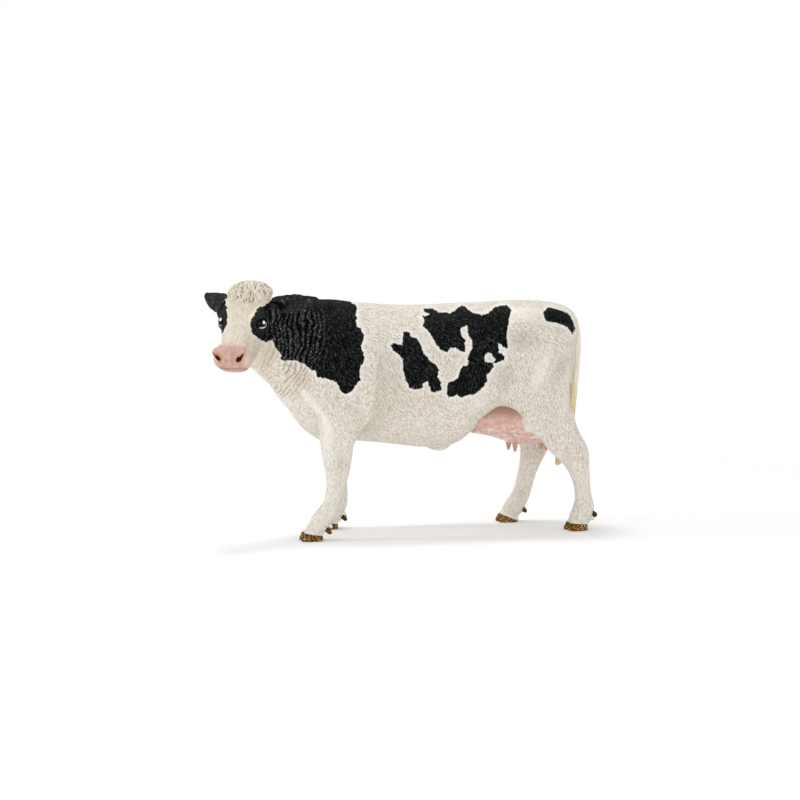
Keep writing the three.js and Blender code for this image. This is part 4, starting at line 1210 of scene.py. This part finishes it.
PINK_NOISE, PINK_TONES = (1.5, 3.0), (0.3, 0.7, (190, 148, 133), (212, 178, 165))
PINK_LAYERS = [
    ("pink", 1.5, 0.1, 0.7, (226, 200, 188)),
    # Darker in the muzzle's hollows: painted shade
    ("hollow", 0.0, 0.15, 1.0, (176, 112, 88)),
    ("grain", 0.48, 0.7, 0.35, (230, 202, 190)),
    ("nostril", -0.6, -0.2, 0.6, (206, 142, 108)),
    ("nostril", -0.15, 0.12, 1.0, (104, 36, 22)),
]

HORN_NOISE, HORN_STRETCH = (0.52, 2.0, 0.6), (1.0, 0.8, 1.5)
HORN_TONES = (0.42, 0.54, (44, 28, 15), (150, 106, 56))
HORN_LAYERS = [
    ("horn lines", 0.56, 0.64, 1.0, (222, 188, 130)),
    ("horn", 0.25, 0.08, 0.8, (48, 32, 20)),
]

UDDER_NOISE, UDDER_TONES = (1.6, 3.0), (0.35, 0.65, (204, 160, 146), (222, 184, 171))
UDDER_LAYERS = [
    # Darker towards the top, where the flank shades it, and in the hollows: painted shade
    ("level", 35.0, 40.0, 0.9, (158, 116, 98)),
    ("vein", 0.1, 0.9, 0.8, (247, 231, 224)),
    ("hollow", 0.02, 0.2, 0.7, (160, 104, 88)),
    ("teat", 0.2, 0.9, 0.6, (200, 140, 112)),
]
UDDER_PITS, UDDER_BUMP = (0.5, 2.0), 0.2

SWITCH_LEVELS = (50.0, 36.0)  # where the tail turns from white to yellow
TAIL_LIGHTS, TAIL_DARKS = ((244, 238, 227), (237, 221, 166)), ((222, 209, 182), (198, 168, 98))
TAIL_PAINT_STROKES, TAIL_DARK_FROM, TAIL_BUMP = (0.4, 2.4), (0.6, 0.3), 0.2

EYE_NOISE, EYE_TONES = (0.8, 2.0), (0.3, 0.7, (2, 2, 2), (12, 9, 8))
EYE_WHITE_AND_GLINT, EYE_BUMP = (252, 250, 246), 0.01


def linear(paint):
    shares = [v / 255 for v in paint]
    return tuple(v / 12.92 if v <= 0.04045 else ((v + 0.055) / 1.055) ** 2.4 for v in shares)


class Tree:
    """A short way to write nodes. A value is a number, an output, or the name of a kept output or of an
    attribute."""

    def __init__(self, owner):
        owner.use_nodes = True
        self.owner = owner
        self.kept = {}
        self.nodes, self.links = owner.node_tree.nodes, owner.node_tree.links

    def node(self, kind, **settings):
        node = self.nodes.new(kind)
        for key, value in settings.items():
            setattr(node, key, value)
        return node

    def link(self, value, socket):
        if isinstance(value, str):
            value = self.kept[value] if value in self.kept else self.attribute(value)
        if hasattr(value, "is_output"):
            self.links.new(value, socket)
        else:
            socket.default_value = value

    def attribute(self, name, output="Fac"):
        return self.node("ShaderNodeAttribute", attribute_name=name).outputs[output]

    def math(self, operation, *values):
        node = self.node("ShaderNodeMath", operation=operation)
        for value, socket in zip(values, node.inputs):
            self.link(value, socket)
        return node.outputs[0]

    def vector(self, operation, a, b=None, scale=None, output="Vector"):
        node = self.node("ShaderNodeVectorMath", operation=operation)
        self.link(a, node.inputs[0])
        if b is not None:
            self.link(b, node.inputs[1])
        if scale is not None:
            self.link(scale, node.inputs["Scale"])
        return node.outputs[output]

    def place(self):
        return self.node("ShaderNodeTexCoord").outputs["Object"]

    def seen(self):
        """1 where the camera sees the surface itself."""
        return self.node("ShaderNodeLightPath").outputs["Is Camera Ray"]

    def noise(self, size, detail, roughness=0.5, at=None):
        node = self.node("ShaderNodeTexNoise")
        self.link(at or self.place(), node.inputs["Vector"])
        node.inputs["Scale"].default_value = 1 / (size * MM)
        node.inputs["Detail"].default_value = detail
        node.inputs["Roughness"].default_value = roughness
        return node.outputs["Fac"]

    def strokes(self, size, length):
        """Noise drawn out along the hair, about 0.5 on the whole."""
        total = 0.0
        hair = self.attribute("hair", "Vector")
        for k in range(HAIR_SAMPLES):
            step = (k / (HAIR_SAMPLES - 1) - 0.5) * length * MM
            at = self.vector("ADD", self.place(), self.vector("SCALE", hair, scale=step))
            total = self.math("ADD", total, self.noise(size, 1.0, at=at))
        spread = self.math("SUBTRACT", self.math("DIVIDE", total, float(HAIR_SAMPLES)), 0.5)
        return self.math("ADD", self.math("MULTIPLY", spread, math.sqrt(HAIR_SAMPLES)), 0.5)

    def ramp(self, value, start, end, high=1.0, low=0.0, kind="SMOOTHSTEP"):
        node = self.node("ShaderNodeMapRange", interpolation_type=kind)
        for socket, number in zip(node.inputs, (value, start, end, low, high)):
            self.link(number, socket)
        return node.outputs[0]

    def mix(self, factor, a, b):
        """Goes from one paint or colour to another."""
        node = self.node("ShaderNodeMix", data_type="RGBA")
        for name, value in (("Factor_Float", factor), ("A_Color", a), ("B_Color", b)):
            socket = next(s for s in node.inputs if s.identifier == name)
            self.link((*linear(value), 1) if isinstance(value, tuple) else value, socket)
        return next(s for s in node.outputs if s.identifier == "Result_Color")

    def tones(self, value, start, end, first, second):
        return self.mix(self.ramp(value, start, end), first, second)

    def layers(self, color, rows):
        for value, start, end, share, paint in rows:
            color = self.mix(self.ramp(value, start, end, share), color, paint)
        return color

    def wash(self, color, value, share, paint):
        return self.mix(self.math("MULTIPLY", value, share), color, paint)

    def finish(self, color, height, distance, roughness, specular):
        """Sets a material's shader, with a bump of a height."""
        bump = self.node("ShaderNodeBump")
        bump.inputs["Distance"].default_value = distance * MM
        self.link(height, bump.inputs["Height"])
        shader = self.nodes["Principled BSDF"].inputs
        self.link(color, shader["Base Color"])
        self.link(bump.outputs["Normal"], shader["Normal"])
        shader["Roughness"].default_value = roughness
        shader["Specular IOR Level"].default_value = specular
        return self.owner


def new_material(name):
    return Tree(bpy.data.materials.new(name))


def cream_paint(t):
    """The white coat: brown in hollows, folds and creases as painted shade, whiter on ridges and raised forms
    as painted highlight, whiter round the patches, duller on the face.
    """
    color = t.layers(t.tones("strokes", *WHITE_TONES), WHITE_LAYERS)
    color = t.wash(color, "face", *FACE_WASH)
    color = t.wash(color, "yellow", *STAIN_WASH)
    color = t.wash(color, "tuft", TUFT_SHARE, t.tones("curl", *TUFT_TONES))
    return t.layers(color, FORM_HIGHLIGHT_AND_SHADE_LAYERS)


def black_paint(t):
    """The black coat: grey on the strokes as painted sheen and on the ridges of the folds as painted
    highlight, and blackest in the hollows and grooves as painted shade.
    """
    color = t.layers(t.tones("strokes", *BLACK_TONES), BLACK_HIGHLIGHT_AND_SHADE_LAYERS)
    ridge = t.math("MULTIPLY", t.ramp("folds", *RIDGE_FOLDS), t.ramp("grain", *RIDGE_GRAIN))
    return t.layers(t.wash(color, ridge, *RIDGE_HIGHLIGHT), GROOVE_SHADE_LAYERS)


def pink_paint(t):
    """The muzzle's bare skin, paler at its edge, darker in its hollows as painted shade, and dark inside the
    nostrils.
    """
    return t.layers(t.tones(t.noise(*PINK_NOISE), *PINK_TONES), PINK_LAYERS)


def horn_paint(t):
    """The hooves' and dewclaws' horn, brown with broken light lines and a dark edge."""
    t.kept["horn lines"] = t.noise(*HORN_NOISE, t.vector("MULTIPLY", t.place(), HORN_STRETCH))
    return t.layers(t.tones("horn lines", *HORN_TONES), HORN_LAYERS)


def coat_material():
    t = new_material("painted_coat")
    t.kept["strokes"] = t.strokes(*COAT_STROKES)
    t.kept["grain"] = t.noise(*COAT_GRAIN)
    ragged = t.math("MULTIPLY", t.math("SUBTRACT", t.noise(*EDGE_NOISE), 0.5), EDGE_RAGGED)
    t.kept["ragged patch"] = t.math("ADD", "patch", ragged)
    color = t.mix(t.ramp("ragged patch", *PATCH_EDGE), cream_paint(t), black_paint(t))
    color = t.mix(t.ramp("pink", *PINK_EDGE), color, pink_paint(t))
    color = t.mix(t.ramp("horn", *HORN_EDGE), color, horn_paint(t))
    height = t.math("ADD", "strokes", t.math("MULTIPLY", t.noise(*COAT_PITS), PIT_SHARE))
    return t.finish(color, height, COAT_BUMP, roughness=0.5, specular=0.04)


def udder_material():
    t = new_material("udder_paint")
    color = t.layers(t.tones(t.noise(*UDDER_NOISE), *UDDER_TONES), UDDER_LAYERS)
    return t.finish(color, t.noise(*UDDER_PITS), UDDER_BUMP, roughness=0.45, specular=0.3)


def tail_material():
    """White above and yellow in the switch, with darker strokes."""
    t = new_material("tail_paint")
    hair = t.strokes(*TAIL_PAINT_STROKES)
    switch = t.ramp("level", *SWITCH_LEVELS)
    light, dark = (t.mix(switch, *paints) for paints in (TAIL_LIGHTS, TAIL_DARKS))
    color = t.tones(hair, *TAIL_DARK_FROM, light, dark)
    return t.finish(color, hair, TAIL_BUMP, roughness=0.55, specular=0.35)


def eye_material():
    t = new_material("eye_gloss")
    shade = t.noise(*EYE_NOISE)
    color = t.mix("white", t.tones(shade, *EYE_TONES), EYE_WHITE_AND_GLINT)
    return t.finish(color, shade, EYE_BUMP, roughness=0.08, specular=0.1)


def paint(objects, material):
    """Paints objects, with one slot for the skin and one for the faces at its partings."""
    for obj in objects:
        obj.data.materials.clear()
        for _ in range(2):
            obj.data.materials.append(material)


paint([body, head, *legs, *ears], coat_material())
paint([udder], udder_material())
paint([tail], tail_material())
paint(eyes, eye_material())


# Camera, floor and light

FLOOR_REACH = 6000
FLOOR_LOOK = {"Base Color": (0.83, 0.83, 0.83, 1), "Roughness": 0.9, "Specular IOR Level": 0.0}
FLOOR_GLOW = 0.15
FLOOR_CLEAR = (140, 330)  # from the middle, where the floor turns from shaded to plain white
HORIZON_LIGHT, ZENITH_LIGHT = 0.48, 0.93
LAMP_TARGET = (0, 0, 30)
LAMPS = {  # place, size, power
    "overhead": ((-100, -20, 540), 120, 0.74),
    "front": ((-60, -440, 240), 80, 0.5),
    "fill": ((480, -60, 50), 300, 0.56),
}


def add_camera():
    data = bpy.data.cameras.new("camera")
    data.sensor_width = SENSOR_MM
    data.lens = SENSOR_MM * FOCAL_PIXELS / PIXELS
    data.clip_end = CAMERA_REACH * MM
    camera = add_object("camera", data)
    right, up, forward = camera_axes()
    turn = Matrix((right, up, -forward)).transposed().to_4x4()
    camera.matrix_world = Matrix.Translation(Vector(CAMERA_AT) * MM) @ turn
    bpy.context.scene.camera = camera


def add_lamp(name, at, size, power):
    data = bpy.data.lights.new(name, "AREA")
    data.shape = "DISK"
    data.size = size * MM
    data.energy = power
    lamp = add_object(name, data)
    at, target = Vector(at) * MM, Vector(LAMP_TARGET) * MM
    lamp.location = at
    lamp.rotation_euler = (target - at).to_track_quat("-Z", "Y").to_euler()


def floor_material():
    """White that keeps the soft shadows near the object and is plain white where it is seen further out."""
    t = new_material("floor_white")
    shaded = t.nodes["Principled BSDF"]
    for key, value in FLOOR_LOOK.items():
        shaded.inputs[key].default_value = value
    glow = t.node("ShaderNodeEmission")
    glow.inputs["Strength"].default_value = FLOOR_GLOW
    both = t.node("ShaderNodeAddShader")
    t.link(shaded.outputs[0], both.inputs[0])
    t.link(glow.outputs[0], both.inputs[1])
    away = t.vector("LENGTH", t.place(), output="Value")
    clear = t.ramp(away, FLOOR_CLEAR[0] * MM, FLOOR_CLEAR[1] * MM)
    fader = t.node("ShaderNodeMixShader")
    t.link(t.math("MULTIPLY", t.seen(), clear), fader.inputs[0])
    t.link(both.outputs[0], fader.inputs[1])
    t.link(t.node("ShaderNodeEmission").outputs[0], fader.inputs[2])
    t.link(fader.outputs[0], t.nodes["Material Output"].inputs["Surface"])
    return t.owner


def add_floor():
    mesh = bpy.data.meshes.new("floor")
    r = FLOOR_REACH * MM
    mesh.from_pydata([(-r, -r, 0), (r, -r, 0), (r, r, 0), (-r, r, 0)], [], [(0, 1, 2, 3)])
    mesh.materials.append(floor_material())
    floor = add_object("floor", mesh)


def add_world():
    """Plain white where it is seen, and a soft light that grows upwards."""
    t = Tree(bpy.data.worlds.new("studio"))
    bpy.context.scene.world = t.owner
    way = t.node("ShaderNodeSeparateXYZ")
    t.link(t.node("ShaderNodeTexCoord").outputs["Generated"], way.inputs[0])
    light = t.ramp(way.outputs["Z"], 0.0, 1.0, ZENITH_LIGHT, HORIZON_LIGHT, "LINEAR")
    strength = t.ramp(t.seen(), 0.0, 1.0, 1.0, light, "LINEAR")
    background = t.nodes["Background"]
    background.inputs["Color"].default_value = (1, 1, 1, 1)
    t.link(strength, background.inputs["Strength"])


add_camera()
add_floor()
add_world()
for name, lamp in LAMPS.items():
    add_lamp(name, *lamp)
bpy.context.scene.view_settings.view_transform = "Standard"
